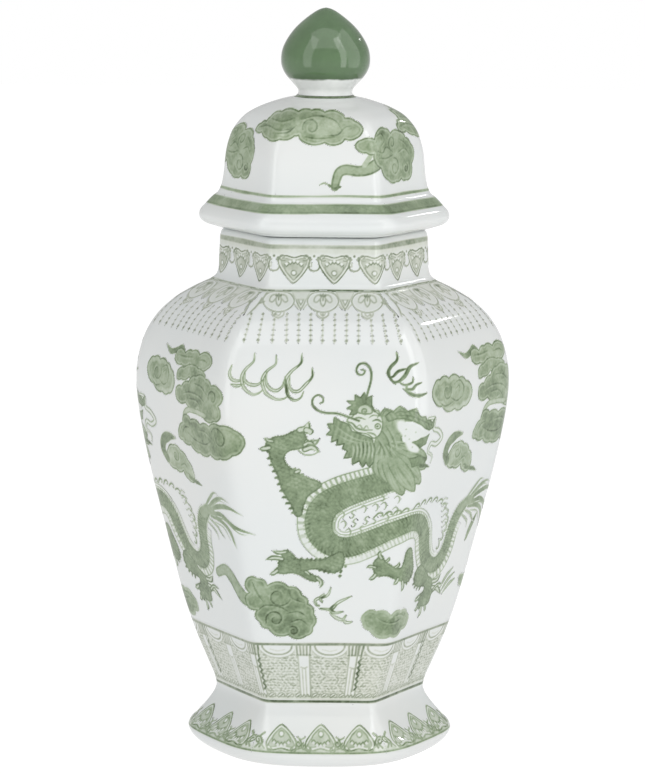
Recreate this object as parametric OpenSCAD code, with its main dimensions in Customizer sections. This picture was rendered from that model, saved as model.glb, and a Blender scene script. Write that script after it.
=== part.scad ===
// Six-sided porcelain temple jar with a lift-off domed lid and a peach-shaped finial.
// Millimetres. The origin is the centre of the foot on its resting plane and +Z is up.
// A flat side faces -Y and two rounded corners lie on the X axis.

/* [Jar body] */
// Height of the mouth above the resting plane
mouth_z = 322.2; // [250:0.1:400]
// Radius over the corners at the flared foot
foot_r = 82; // [60:0.5:110]
// Height of the pinched waist above the foot
waist_z = 35.5; // [25:0.5:50]
// Radius over the corners at the waist
waist_r = 64.5; // [50:0.5:90]
// Height of the widest part of the belly
belly_z = 227; // [180:1:270]
// Radius over the corners at the belly
belly_r = 115.1; // [90:0.1:150]
// Height at which the shoulder meets the neck
neck_z = 293.8; // [240:0.1:340]
// Radius over the corners at the bottom of the neck
neck_r = 64.7; // [50:0.1:80]
// Thickness of the cast wall
wall = 5.5; // [4:0.1:9]
// Depth of the recess under the foot
recess_h = 5; // [3:0.5:8]

/* [Lid] */
// Gap between the mouth and the lid when it is on
seat_gap = 0.3; // [0.3:0.1:1]
// Radius over the corners at the lid's rolled rim
rim_r = 76.8; // [65:0.1:95]
// Radius over the corners at the side of the dome
dome_r = 61.3; // [50:0.1:80]
// Height of the top of the dome above the resting plane
dome_z = 404.2; // [360:0.1:450]
// How far the locating collar reaches down into the neck
collar_h = 16.5; // [10:0.5:30]
// Thickness of the locating collar
collar_t = 5.2; // [4:0.1:8]
// Clearance between the collar and the inside of the neck, over the corners
collar_gap = 3; // [1.5:0.1:5]
// Radius of the vent between the dome and the hollow knob
vent_r = 6; // [3:0.5:9]

/* [Finial] */
// Greatest radius of the knob
knob_r = 27.2; // [20:0.1:40]
// Height of the knob's tip above the resting plane
tip_z = 457.3; // [420:0.1:520]
// Radius of the knob's slender neck
knob_neck_r = 16.8; // [10:0.1:25]
// Thickness of the knob's wall
knob_wall = 5; // [3:0.5:8]

/* [Hidden] */

sides = 6;
points_per_side = 8;
ring_n = sides * points_per_side;
corner_crowd = 6.2;      // degrees by which ring points are drawn towards the corners
long_span = 11;          // longest step along an outer profile
outer_neck_r = neck_r - 0.6;
lip_r = outer_neck_r - 4.6;
seat_z = mouth_z + seat_gap;
collar_r = lip_r + 0.4 - collar_gap;
weld = 0.2;              // overlap of the luted joints inside the lid
floor_z = recess_h + 6.2;
full_circle = 180;       // $fn for the turned shapes

// Straight blend between two values.
function mix(a, b, t) = a + (b - a) * t;

// Turns [radial share, height share] pairs into [radius, height] points.
function between(r0, r1, z0, z1, shares) = [for (s = shares) [mix(r0, r1, s[0]), mix(z0, z1, s[1])]];

// Unit direction of the profile at one of its points, weighted by the spans beside it.
function span(k, i) = norm(k[i + 1] - k[i]);
function chord(k, i) = (k[i + 1] - k[i]) / span(k, i);
function heading(k, i) =
    i == 0 ? chord(k, 0) :
    i == len(k) - 1 ? chord(k, i - 1) :
    (chord(k, i) * span(k, i - 1) + chord(k, i - 1) * span(k, i)) / (span(k, i - 1) + span(k, i));

// A point on the smooth cubic between key points i and i + 1.
function cubic(k, i, t) =
    (2 * t ^ 3 - 3 * t ^ 2 + 1) * k[i]
    + (t ^ 3 - 2 * t ^ 2 + t) * span(k, i) * heading(k, i)
    + (3 * t ^ 2 - 2 * t ^ 3) * k[i + 1]
    + (t ^ 3 - t ^ 2) * span(k, i) * heading(k, i + 1);

// The smooth profile through key points, with more points where a span is long.
function smooth(k, step) = concat(
    [for (i = [0 : len(k) - 2])
        let (n = ceil(span(k, i) / step))
        for (j = [0 : n - 1]) cubic(k, i, j / n)],
    [k[len(k) - 1]]);

// Key points moved inwards by the wall thickness, without the two ends, for the inside of a rising profile.
function inset(k, t) = [for (i = [1 : len(k) - 2])
    let (h = heading(k, i) / norm(heading(k, i))) k[i] + t * [-h[1], h[0]]];

// The part of a profile that lies between two heights.
function stretch(k, z0, z1) = [for (p = k) if (p[1] > z0 - 0.01 && p[1] < z1 + 0.01) p];

function reversed(k) = [for (i = [len(k) - 1 : -1 : 0]) k[i]];

// Crispness of the six corners: 2 is a circle, 40 is nearly a sharp hexagon.
jar_crisp = [
    [0, 6], [12, 8.5], [22, 18], [32, 32], [80, 36],
    [140, 28], [225, 24], [275, 24], [291, 34], [330, 34]
];
lid_crisp = [
    [300, 34], [321, 34], [323, 16], [331, 16], [341, 26],
    [365, 26], [385, 16], [395, 9], [401, 4], [404, 2]
];

// Sum behind the rounded hexagon, and its radius at one angle, where the corner radius is 1.
function total(v) = v * [for (x = v) 1];
function pull(a, p) = total([for (k = [0 : sides - 1]) max(0, cos(a - k * 60)) ^ p]);
function hexagon(a, p) = (pull(a, p) / pull(30, p)) ^ (-1 / p);

// One ring of a swept shape, at corner radius and height rz.
function ring(rz, crisp) = [for (i = [0 : ring_n - 1])
    let (
        u = i * 360 / ring_n,
        a = u + corner_crowd * sin(6 * u),
        r = rz[0] * hexagon(a, lookup(rz[1], crisp))
    ) [r * sin(a), -r * cos(a), rz[1]]];

// Two triangles for each cell between ring i and ring j.
function cells(i, j) = [for (k = [0 : ring_n - 1])
    let (
        l = (k + 1) % ring_n,
        a = i * ring_n,
        b = j * ring_n
    ) each [[a + k, b + k, b + l], [a + k, b + l, a + l]]];

// A solid through the profile's rings. An open profile is closed by a flat disc at each end.
module sweep_rings(profile, crisp, closed = false) {
    n = len(profile);
    points = [for (rz = profile) each ring(rz, crisp)];
    walls = [for (i = [0 : n - 2]) each cells(i, i + 1)];
    first = [[for (k = [0 : ring_n - 1]) k]];
    last = [[for (k = [ring_n - 1 : -1 : 0]) (n - 1) * ring_n + k]];
    ends = closed ? cells(n - 1, 0) : concat(first, last);
    polyhedron(points = points, faces = concat(walls, ends), convexity = 10);
}

// Underside: recess, then the flat ring that the jar stands on.
under_keys = [
    [foot_r - 24, recess_h],
    [foot_r - 19.5, recess_h - 0.4],
    [foot_r - 17.8, recess_h - 2],
    [foot_r - 17, 0.6],
    [foot_r - 16.2, 0]
];

// Outside of the foot, from the resting ring up to the waist.
foot_keys = [
    [foot_r - 11.5, 0],
    [foot_r - 8, 0.8],
    [foot_r - 4.5, 2.8],
    [foot_r - 1.4, 6],
    [foot_r, 9.6],
    [foot_r - 1.2, 12.9],
    [mix(waist_r, foot_r, 0.7), 17],
    [mix(waist_r, foot_r, 0.45), 22.2],
    [mix(waist_r, foot_r, 0.22), 27.3],
    [mix(waist_r, foot_r, 0.07), 31.5]
];

// Waist to belly, then belly to the foot of the neck, as shares of each stretch.
lower_keys = between(waist_r, belly_r, waist_z, belly_z,
    [[0, 0], [0.014, 0.021], [0.1, 0.078], [0.23, 0.158], [0.39, 0.278], [0.553, 0.437],
    [0.709, 0.596], [0.822, 0.715], [0.917, 0.833], [0.981, 0.937], [1, 1]]);
upper_keys = between(belly_r, neck_r, belly_z, neck_z,
    [[0.01, 0.165], [0.047, 0.308], [0.128, 0.476], [0.276, 0.644], [0.434, 0.754],
    [0.667, 0.867], [0.813, 0.922], [0.919, 0.961], [0.976, 1]]);
neck_keys = [
    [neck_r, neck_z + 3.7],
    [neck_r - 0.4, neck_z + 11],
    [neck_r - 0.8, neck_z + 19],
    [neck_r - 1.2, mouth_z - 3.7]
];

// The neck's rounded lip.
lip_keys = [
    [outer_neck_r - 1.2, mouth_z - 1.6],
    [outer_neck_r - 2.7, mouth_z - 0.3],
    [outer_neck_r - 4.1, mouth_z],
    [lip_r, mouth_z - 0.6],
    [lip_r - 0.4, mouth_z - 2.2]
];

outside = smooth(concat(foot_keys, lower_keys, upper_keys, neck_keys, lip_keys), long_span);

// Inside of the wall, rising from the floor to the waist, the belly and the lip.
waist_in = [waist_r - wall, waist_z];
belly_in = [belly_r - wall, belly_z];
foot_rise = [for (i = [5 : 9]) foot_keys[i]];
foot_inside = concat(inset(concat(foot_rise, [lower_keys[0]]), wall), [waist_in]);
belly_inside = concat([waist_in], inset(lower_keys, wall), [belly_in]);
neck_inside = concat([belly_in],
    inset(concat([[belly_r, belly_z]], upper_keys, neck_keys, [lip_keys[0]]), wall));
floor_keys = [
    [foot_r - 12.4, floor_z + 0.5],
    [foot_r - 17, floor_z]
];

// The flared foot: a floor, a resting ring under it and the wall up to the waist.
module jar_foot() {
    color([0.9, 0.91, 0.88])
        sweep_rings(
            concat(under_keys, stretch(outside, 0, waist_z), reversed(foot_inside), floor_keys),
            jar_crisp);
}

// The tapering wall from the waist up to the widest part of the belly.
module jar_belly() {
    color([0.93, 0.94, 0.95])
        sweep_rings(
            concat(stretch(outside, waist_z, belly_z), reversed(belly_inside)),
            jar_crisp, closed = true);
}

// The shoulder, the short neck and its rounded lip.
module jar_neck() {
    color([0.9, 0.93, 0.95])
        sweep_rings(
            concat(stretch(outside, belly_z, mouth_z), reversed(neck_inside)),
            jar_crisp, closed = true);
}

// Outside of the lid, from the centre of the dome out and down to the rim and seat.
dome_keys = [
    [vent_r + 3, dome_z],
    [dome_r - 39.3, dome_z - 1.5],
    [dome_r - 28.9, dome_z - 4.3],
    [dome_r - 18.8, dome_z - 8.4],
    [dome_r - 12.7, dome_z - 12.1],
    [dome_r - 9, dome_z - 15.8],
    [dome_r - 5.1, dome_z - 21.2],
    [dome_r - 2.4, dome_z - 28.2],
    [dome_r - 0.8, dome_z - 35.2],
    [dome_r, dome_z - 43.2],
    [dome_r + 1, dome_z - 51.2],
    [dome_r + 2.2, dome_z - 56.3],
    [dome_r + 4.1, dome_z - 59.9],
    [mix(dome_r, rim_r, 0.46), seat_z + 19.3],
    [mix(dome_r, rim_r, 0.76), seat_z + 14.4],
    [mix(dome_r, rim_r, 0.93), seat_z + 11.6],
    [rim_r, seat_z + 8.6],
    [rim_r - 0.7, seat_z + 5.6],
    [rim_r - 3.5, seat_z + 3.2],
    [rim_r - 7.6, seat_z + 1.8],
    [rim_r - 11.5, seat_z + 0.6],
    [rim_r - 15, seat_z]
];

// Inside of the dome, from the collar up to the vent.
dome_inner_keys = [
    [collar_r, seat_z],
    [collar_r, seat_z + 9],
    [dome_r - 5.6, dome_z - 58],
    [dome_r - 5.4, dome_z - 47],
    [dome_r - 6.7, dome_z - 35],
    [dome_r - 10.1, dome_z - 25],
    [dome_r - 15.8, dome_z - 17],
    [dome_r - 23.3, dome_z - 12.4],
    [dome_r - 33.3, dome_z - 8.8],
    [vent_r + 3, dome_z - 5.5]
];

// The lid's cover, with a rolled rim, a flat seat and a round vent at the top.
module lid_dome() {
    profile = concat(smooth(dome_keys, long_span), smooth(dome_inner_keys, 2 * long_span));
    color([0.9, 0.93, 0.9])
        difference() {
            sweep_rings(reversed(profile), lid_crisp);
            translate([0, 0, dome_z - 20])
                cylinder(h = 40, r = vent_r, $fn = full_circle);
        }
}

// The six-sided collar luted inside the lid. It hangs in the neck and keeps the lid centred.
module lid_collar() {
    low_z = seat_z - collar_h;
    profile = [
        [collar_r + weld, seat_z + 6],
        [collar_r + weld, seat_z + 2],
        [collar_r - 0.2, low_z + 3],
        [collar_r - 1, low_z + 0.8],
        [collar_r - 2.4, low_z],
        [collar_r - collar_t + 1.4, low_z + 0.3],
        [collar_r - collar_t, low_z + 2.4],
        [collar_r - collar_t, seat_z + 3],
        [collar_r - 2.6, seat_z + 8]
    ];
    color([0.86, 0.86, 0.84])
        sweep_rings(reversed(profile), lid_crisp, closed = true);
}

// Outside of the knob, as shares of its radius and of its height above the dome.
knob_keys = concat(
    [[knob_neck_r + 1.6, dome_z - 1.6], [knob_neck_r + 1.1, dome_z - 0.7],
    [knob_neck_r - 0.3, dome_z + 1.2], [knob_neck_r - 0.1, dome_z + 3.2]],
    between(0, knob_r, dome_z, tip_z,
    [[0.695, 0.117], [0.845, 0.2], [0.94, 0.272], [0.989, 0.341], [1, 0.412], [0.967, 0.527],
    [0.886, 0.62], [0.8, 0.69], [0.695, 0.759], [0.563, 0.827], [0.455, 0.874], [0.335, 0.921],
    [0.2, 0.966], [0.1, 0.989]]),
    [[0, tip_z]]);
knob_inner_keys = [
    [0, tip_z - 1.6 * knob_wall],
    [knob_r - 2.6 * knob_wall, mix(dome_z, tip_z, 0.72)],
    [knob_r - knob_wall, mix(dome_z, tip_z, 0.42)],
    [knob_r - 1.5 * knob_wall, mix(dome_z, tip_z, 0.26)],
    [knob_neck_r - knob_wall, dome_z + 4.5],
    [vent_r, dome_z + 1.5],
    [vent_r, dome_z - 1.6]
];

// The turned, hollow finial, luted over the vent on top of the dome.
module lid_finial() {
    color([0.42, 0.56, 0.4])
        rotate_extrude($fn = full_circle)
            polygon(concat(smooth(knob_keys, 4), smooth(knob_inner_keys, 8)));
}

jar_foot();
jar_belly();
jar_neck();
lid_dome();
lid_collar();
lid_finial();
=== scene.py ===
"""Looks of the six-sided porcelain temple jar: glaze, hand-painted decoration, lights and camera.

Lengths in this script are millimetres, in the CAD frame, until a mesh is made.
The jar's surface is unrolled for painting: s runs round it from the centre line of the facet
that faces -Y, towards +X, and z is the height above the resting plane.
"""

import copy
import math

import bpy
import numpy as np
from mathutils import Matrix, Vector


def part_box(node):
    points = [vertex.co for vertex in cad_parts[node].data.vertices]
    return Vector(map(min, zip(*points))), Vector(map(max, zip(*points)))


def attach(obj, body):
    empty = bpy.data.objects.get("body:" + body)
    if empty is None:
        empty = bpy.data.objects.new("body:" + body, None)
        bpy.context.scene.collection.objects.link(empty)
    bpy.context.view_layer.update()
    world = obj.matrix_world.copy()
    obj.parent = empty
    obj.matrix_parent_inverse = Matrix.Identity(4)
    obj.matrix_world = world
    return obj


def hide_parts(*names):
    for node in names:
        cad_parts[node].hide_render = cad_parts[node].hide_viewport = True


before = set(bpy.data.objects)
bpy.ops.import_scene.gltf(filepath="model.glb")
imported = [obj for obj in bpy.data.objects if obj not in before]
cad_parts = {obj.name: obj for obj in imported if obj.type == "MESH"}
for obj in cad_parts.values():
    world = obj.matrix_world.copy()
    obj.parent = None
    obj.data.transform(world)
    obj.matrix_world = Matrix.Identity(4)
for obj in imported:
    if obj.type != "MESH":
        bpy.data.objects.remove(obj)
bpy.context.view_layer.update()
MM = 0.001
SIDES = 6

# ---------------------------------------------------------------- sizes


def node_top(name):
    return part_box(name)[1].z / MM


def node_radius(name):
    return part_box(name)[1].x / MM


foot_r = node_radius("jar_foot")
waist_z = node_top("jar_foot")
belly_r = node_radius("jar_belly")
belly_z = node_top("jar_belly")
mouth_z = node_top("jar_neck")
seat_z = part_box("lid_dome")[0].z / MM
rim_r = node_radius("lid_dome")
dome_z = node_top("lid_dome")
collar_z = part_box("lid_collar")[0].z / MM
collar_r = node_radius("lid_collar")
knob_r = node_radius("lid_finial")
tip_z = node_top("lid_finial")

# The frame doesn't give these, so they repeat part.scad.
waist_r = 64.5
neck_z = mouth_z - 28.4
neck_r = 64.7
dome_r = 61.3
knob_neck_r = 16.8
wall = 5.5
recess_h = 5
vent_r = 6
floor_z = recess_h + 6.2
lip_r = neck_r - 5.2

# ---------------------------------------------------------------- profiles and section


def mix(a, b, t):
    return a + (b - a) * t


def between(r0, r1, z0, z1, shares):
    """[radius share, height share] pairs as (radius, height) points."""
    return [(mix(r0, r1, a), mix(z0, z1, b)) for a, b in shares]


def directions(keys):
    """Unit direction of a profile at each of its points, weighted by the spans beside it."""
    span = np.linalg.norm(np.diff(keys, axis=0), axis=1)[:, None]
    chord = np.diff(keys, axis=0) / span
    inner = (chord[1:] * span[:-1] + chord[:-1] * span[1:]) / (span[:-1] + span[1:])
    return np.vstack([chord[:1], inner, chord[-1:]]), span[:, 0]


def smooth(keys, step):
    """Points at most step apart on the smooth cubic through keys."""
    keys = np.array(keys, float)
    heading, span = directions(keys)
    out = []
    for i, length in enumerate(span):
        n = max(1, math.ceil(length / step))
        t = (np.arange(n) / n)[:, None]
        out.append(
            (2 * t**3 - 3 * t**2 + 1) * keys[i]
            + (t**3 - 2 * t**2 + t) * length * heading[i]
            + (3 * t**2 - 2 * t**3) * keys[i + 1]
            + (t**3 - t**2) * length * heading[i + 1]
        )
    return np.vstack(out + [keys[-1:]])


def inset(keys, depth):
    """Key points moved inwards from a rising profile, without its two ends."""
    heading = directions(np.array(keys, float))[0][1:-1]
    heading /= np.linalg.norm(heading, axis=1)[:, None]
    return np.array(keys)[1:-1] + depth * np.stack([-heading[:, 1], heading[:, 0]], 1)


under_keys = [
    (foot_r - 24, recess_h), (foot_r - 19.5, recess_h - 0.4), (foot_r - 17.8, recess_h - 2),
    (foot_r - 17, 0.6), (foot_r - 16.2, 0),
]
foot_keys = [
    (foot_r - 11.5, 0), (foot_r - 8, 0.8), (foot_r - 4.5, 2.8), (foot_r - 1.4, 6),
    (foot_r, 9.6), (foot_r - 1.2, 12.9), (mix(waist_r, foot_r, 0.7), 17),
    (mix(waist_r, foot_r, 0.45), 22.2), (mix(waist_r, foot_r, 0.22), 27.3),
    (mix(waist_r, foot_r, 0.07), 31.5),
]
lower_keys = between(waist_r, belly_r, waist_z, belly_z, [
    (0, 0), (0.014, 0.021), (0.1, 0.078), (0.23, 0.158), (0.39, 0.278), (0.553, 0.437),
    (0.709, 0.596), (0.822, 0.715), (0.917, 0.833), (0.981, 0.937), (1, 1)])
upper_keys = between(belly_r, neck_r, belly_z, neck_z, [
    (0.01, 0.165), (0.047, 0.308), (0.128, 0.476), (0.276, 0.644), (0.434, 0.754),
    (0.667, 0.867), (0.813, 0.922), (0.919, 0.961), (0.976, 1)])
neck_keys = [
    (neck_r, neck_z + 3.7), (neck_r - 0.4, neck_z + 11), (neck_r - 0.8, neck_z + 19),
    (neck_r - 1.2, mouth_z - 3.7),
]
lip_keys = [
    (neck_r - 1.8, mouth_z - 1.6), (neck_r - 3.3, mouth_z - 0.3), (neck_r - 4.7, mouth_z),
    (lip_r, mouth_z - 0.6), (lip_r - 0.4, mouth_z - 2.2),
]
outer_keys = foot_keys + lower_keys + upper_keys + neck_keys + lip_keys
floor_keys = [(foot_r - 12.4, floor_z + 0.5), (foot_r - 17, floor_z)]

dome_keys = [
    (dome_r - 39.3, dome_z - 1.5), (dome_r - 28.9, dome_z - 4.3), (dome_r - 18.8, dome_z - 8.4),
    (dome_r - 12.7, dome_z - 12.1), (dome_r - 9, dome_z - 15.8), (dome_r - 5.1, dome_z - 21.2),
    (dome_r - 2.4, dome_z - 28.2), (dome_r - 0.8, dome_z - 35.2), (dome_r, dome_z - 43.2),
    (dome_r + 1, dome_z - 51.2), (dome_r + 2.2, dome_z - 56.3), (dome_r + 4.1, dome_z - 59.9),
    (mix(dome_r, rim_r, 0.46), seat_z + 19.3), (mix(dome_r, rim_r, 0.76), seat_z + 14.4),
    (mix(dome_r, rim_r, 0.93), seat_z + 11.6), (rim_r, seat_z + 8.6),
    (rim_r - 0.7, seat_z + 5.6), (rim_r - 3.5, seat_z + 3.2), (rim_r - 7.6, seat_z + 1.8),
    (rim_r - 11.5, seat_z + 0.6), (rim_r - 15, seat_z),
]
dome_inner_keys = [
    (collar_r - 0.2, seat_z), (collar_r - 0.2, seat_z + 9), (dome_r - 5.6, dome_z - 58),
    (dome_r - 5.4, dome_z - 47), (dome_r - 6.7, dome_z - 35), (dome_r - 10.1, dome_z - 25),
    (dome_r - 15.8, dome_z - 17), (dome_r - 23.3, dome_z - 12.4), (dome_r - 33.3, dome_z - 8.8),
]
collar_keys = [
    (collar_r, seat_z + 6), (collar_r, seat_z + 2), (collar_r - 0.4, collar_z + 3),
    (collar_r - 1.2, collar_z + 0.8), (collar_r - 2.6, collar_z), (collar_r - 4, collar_z + 0.3),
    (collar_r - 5.4, collar_z + 2.4), (collar_r - 5.4, seat_z + 3), (collar_r - 2.8, seat_z + 8),
]
knob_keys = [
    (knob_neck_r + 1.6, dome_z - 1.6), (knob_neck_r + 1.1, dome_z - 0.7),
    (knob_neck_r - 0.3, dome_z + 1.2), (knob_neck_r - 0.1, dome_z + 3.2),
] + between(0, knob_r, dome_z, tip_z, [
    (0.695, 0.117), (0.845, 0.2), (0.94, 0.272), (0.989, 0.341), (1, 0.412), (0.967, 0.527),
    (0.886, 0.62), (0.8, 0.69), (0.695, 0.759), (0.563, 0.827), (0.455, 0.874),
    (0.335, 0.921), (0.2, 0.966), (0.1, 0.989), (0, 1)])

# (height, crispness of the corners). 2 is a circle, 40 is nearly a sharp hexagon.
jar_crisp = [
    (0, 6), (12, 8.5), (22, 18), (32, 32), (80, 36),
    (140, 28), (225, 24), (275, 24), (291, 34), (330, 34),
]
lid_crisp = [
    (300, 34), (321, 34), (323, 16), (331, 16), (341, 26),
    (365, 26), (385, 16), (395, 9), (401, 4), (404, 2),
]


def section(angle, crisp):
    """Radius of the rounded hexagon at an angle from -Y, where its corner radius is 1."""

    def pull(a):
        return sum(np.maximum(0, np.cos(a - k * math.pi / 3)) ** crisp for k in range(SIDES))

    return (pull(angle) / pull(math.pi / 6)) ** (-1 / crisp)


def crispness(z, table):
    heights, values = zip(*table)
    return np.interp(z, heights, values)


# ---------------------------------------------------------------- the unrolled surface

# The crispnesses and the shares of half a side that the tables below are made for.
CRISPS = np.linspace(2, 36, 69)
SHARES = np.linspace(0, 1, 161)


def unroll_tables():
    """For each crispness, the length of half a side and the angle at each share of it."""
    lengths, angles = [], []
    a = np.linspace(0, math.pi / 6, 1201)
    for crisp in CRISPS:
        r = section(a, crisp)
        steps = np.hypot(np.diff(r * np.sin(a)), np.diff(r * np.cos(a)))
        along = np.concatenate([[0], np.cumsum(steps)])
        lengths.append(along[-1])
        angles.append(np.interp(SHARES * along[-1], along, a))
    return lengths, np.array(angles)


LENGTHS, ANGLES = unroll_tables()


class Surface:
    """An outer wall: a radius at each height, swept round a rounded hexagon."""

    def __init__(self, keys, crisp):
        outline = smooth(keys, 0.3)
        self.z, self.r = outline[np.argsort(outline[:, 1])].T[::-1]
        self.crisp = crisp

    def radius(self, z):
        return np.interp(z, self.z, self.r)

    def half(self, z):
        """Distance along the wall from a facet's centre line to its corner."""
        return self.radius(z) * np.interp(crispness(z, self.crisp), CRISPS, LENGTHS)

    def angle(self, s, z):
        """Angle from -Y, in radians, of points s along the wall at height z."""
        share = s / self.half(z)
        facet = np.round(share / 2)
        rest = share - 2 * facet
        row = (crispness(z, self.crisp) - CRISPS[0]) / (CRISPS[1] - CRISPS[0])
        col = np.abs(rest) * (len(SHARES) - 1)
        i = np.clip(row.astype(int), 0, len(CRISPS) - 2)
        j = np.clip(col.astype(int), 0, len(SHARES) - 2)
        u, v = row - i, col - j
        low = ANGLES[i, j] * (1 - v) + ANGLES[i, j + 1] * v
        high = ANGLES[i + 1, j] * (1 - v) + ANGLES[i + 1, j + 1] * v
        return facet * math.pi / 3 + np.sign(rest) * (low * (1 - u) + high * u)

    def at(self, angle, z):
        """The 3D point at an angle from -Y and a height."""
        r = self.radius(z) * section(angle, crispness(z, self.crisp))
        return np.stack([r * np.sin(angle), -r * np.cos(angle), z + 0 * r], -1)

    def place(self, s, z, turn=0):
        """3D points and outward normals for unrolled points, turned by some degrees."""
        angle = self.angle(s, z) + math.radians(turn)
        around, up = 0.002, 0.4
        round_way = self.at(angle + around, z) - self.at(angle - around, z)
        up_way = self.at(angle, z + up) - self.at(angle, z - up)
        normal = np.cross(round_way, up_way)
        return self.at(angle, z), normal / np.linalg.norm(normal, axis=-1, keepdims=True)


jar_wall = Surface(foot_keys[3:] + lower_keys + upper_keys + neck_keys + lip_keys[:2], jar_crisp)
lid_wall = Surface(dome_keys[:16], lid_crisp)

# ---------------------------------------------------------------- meshes

RING_N = 216  # points in each ring of a swept shape
CORNER_CROWD = math.radians(6.2)  # by which they are drawn towards the corners


def add_object(name, points, faces):
    """A smooth-shaded mesh object from points in millimetres."""
    mesh = bpy.data.meshes.new(name)
    mesh.from_pydata((np.asarray(points) * MM).tolist(), [], faces)
    mesh.shade_smooth()
    thing = bpy.data.objects.new(name, mesh)
    bpy.context.scene.collection.objects.link(thing)
    return thing


def ring_cells(count, n, closed):
    """Quads between neighbouring rings of n points, facing outwards on a rising profile."""
    faces = []
    for i in range(count if closed else count - 1):
        j = (i + 1) % count
        a, b = i * n + np.arange(n), j * n + np.arange(n)
        faces += np.stack([a, np.roll(a, -1), np.roll(b, -1), b], 1).tolist()
    return faces


def sweep(name, profile, crisp=None, ends="caps"):
    """A profile swept round the hexagon, or turned where there is no crispness table.
    ends says what closes it: flat caps, a loop, or a point at the last ring."""
    profile = np.asarray(profile)
    u = np.arange(RING_N) * 2 * math.pi / RING_N
    angle = u + CORNER_CROWD * np.sin(6 * u) if crisp else u
    radius = profile[:, :1] * np.ones(RING_N)
    if crisp:
        radius = radius * section(angle[None], crispness(profile[:, 1], crisp)[:, None])
    height = profile[:, 1:] * np.ones(RING_N)
    points = np.stack([radius * np.sin(angle), -radius * np.cos(angle), height], -1).reshape(-1, 3)
    count = len(profile)
    faces = ring_cells(count, RING_N, ends == "loop")
    last = (count - 1) * RING_N
    if ends != "loop":
        faces.append(list(range(RING_N))[::-1])
    if ends == "caps":
        faces.append(list(range(last, last + RING_N)))
    if ends == "point":
        points = np.vstack([points, [[0, 0, tip_z]]])
        ring = last + np.arange(RING_N)
        tip = np.full(RING_N, last + RING_N)
        faces += np.stack([ring, np.roll(ring, -1), tip], 1).tolist()
    return add_object(name, points, faces)


# ---------------------------------------------------------------- ink


def curve(points, step=1.0, closed=False):
    """A smooth path through given points."""
    p = np.array(points, float)
    if closed:
        p = np.vstack([p[-1:], p, p[:2]])
    else:
        p = np.vstack([2 * p[0] - p[1], p, 2 * p[-1] - p[-2]])
    out = []
    for i in range(1, len(p) - 2):
        n = max(2, int(np.linalg.norm(p[i + 1] - p[i]) / step))
        t = (np.arange(n) / n)[:, None]
        out.append(0.5 * (
            2 * p[i] + (p[i + 1] - p[i - 1]) * t
            + (2 * p[i - 1] - 5 * p[i] + 4 * p[i + 1] - p[i + 2]) * t**2
            + (3 * p[i] - p[i - 1] - 3 * p[i + 1] + p[i + 2]) * t**3))
    return np.vstack(out + ([] if closed else [p[-2:-1]]))


def puffs(cusps, bulge):
    """A closed outline of arcs that bulge outwards between cusps, given anticlockwise."""
    step = 0.8
    out = []
    for a, b in zip(cusps, cusps[1:] + cusps[:1]):
        a, b = np.array(a, float), np.array(b, float)
        chord = b - a
        n = max(3, int(np.linalg.norm(chord) / step))
        t = (np.arange(n) / n)[:, None]
        out.append(a + chord * t + 4 * bulge * t * (1 - t) * np.array([chord[1], -chord[0]]))
    return np.vstack(out)


def spiral(centre, r0, r1, turns, start):
    """A scroll that opens from radius r0 to r1. Negative turns run clockwise."""
    t = np.linspace(0, 1, max(8, int(abs(turns) * 22)))
    a = math.radians(start) + 2 * math.pi * turns * t
    r = mix(r0, r1, t)
    return np.stack([centre[0] + r * np.cos(a), centre[1] + r * np.sin(a)], 1)


def shifted(points, ds, dz=0.0):
    """Points moved along the wall and up."""
    return np.asarray(points, float) + (ds, dz)


def ease(x):
    x = np.clip(x, 0, 1)
    return x * x * (3 - 2 * x)


def filled(depth, soft):
    """Cover of a shape: 1 where depth is well above 0, 0 well below it, soft wide between."""
    return ease(depth / soft + 0.5)


def outlined(depth, half, soft):
    """Cover of a line where depth is 0, half wide to each side, with soft edges."""
    return filled(half - np.abs(depth), soft)


def mottled(canvas, size, seed):
    """Soft random values between -1 and 1 over a canvas, in patches of about size."""
    rng = np.random.default_rng(seed)
    columns = max(2, round(len(canvas.s) * canvas.cell / size))
    z = (canvas.z - canvas.z[0]) / size
    s = np.arange(len(canvas.s)) / len(canvas.s) * columns
    grid = rng.uniform(-1, 1, (int(z[-1]) + 2, columns))
    i, j = z.astype(int), s.astype(int)
    u, v = ease(z - i)[:, None], ease(s - j)[None]
    right = (j + 1) % columns
    low = grid[i][:, j] * (1 - v) + grid[i][:, right] * v
    high = grid[i + 1][:, j] * (1 - v) + grid[i + 1][:, right] * v
    return low * (1 - u) + high * u


def ragged(outline, size=0.55):
    """A closed outline with small thorns along it."""
    pitch = 1.7
    ahead = np.roll(outline, -1, axis=0) - np.roll(outline, 1, axis=0)
    ahead /= np.linalg.norm(ahead, axis=1)[:, None] + 1e-9
    steps = np.linalg.norm(np.roll(outline, -1, axis=0) - outline, axis=1)
    along = np.cumsum(steps) - steps
    tooth = np.mod(along / pitch, 1) - 0.35
    return outline + size * tooth[:, None] * np.stack([ahead[:, 1], -ahead[:, 0]], 1)


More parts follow.
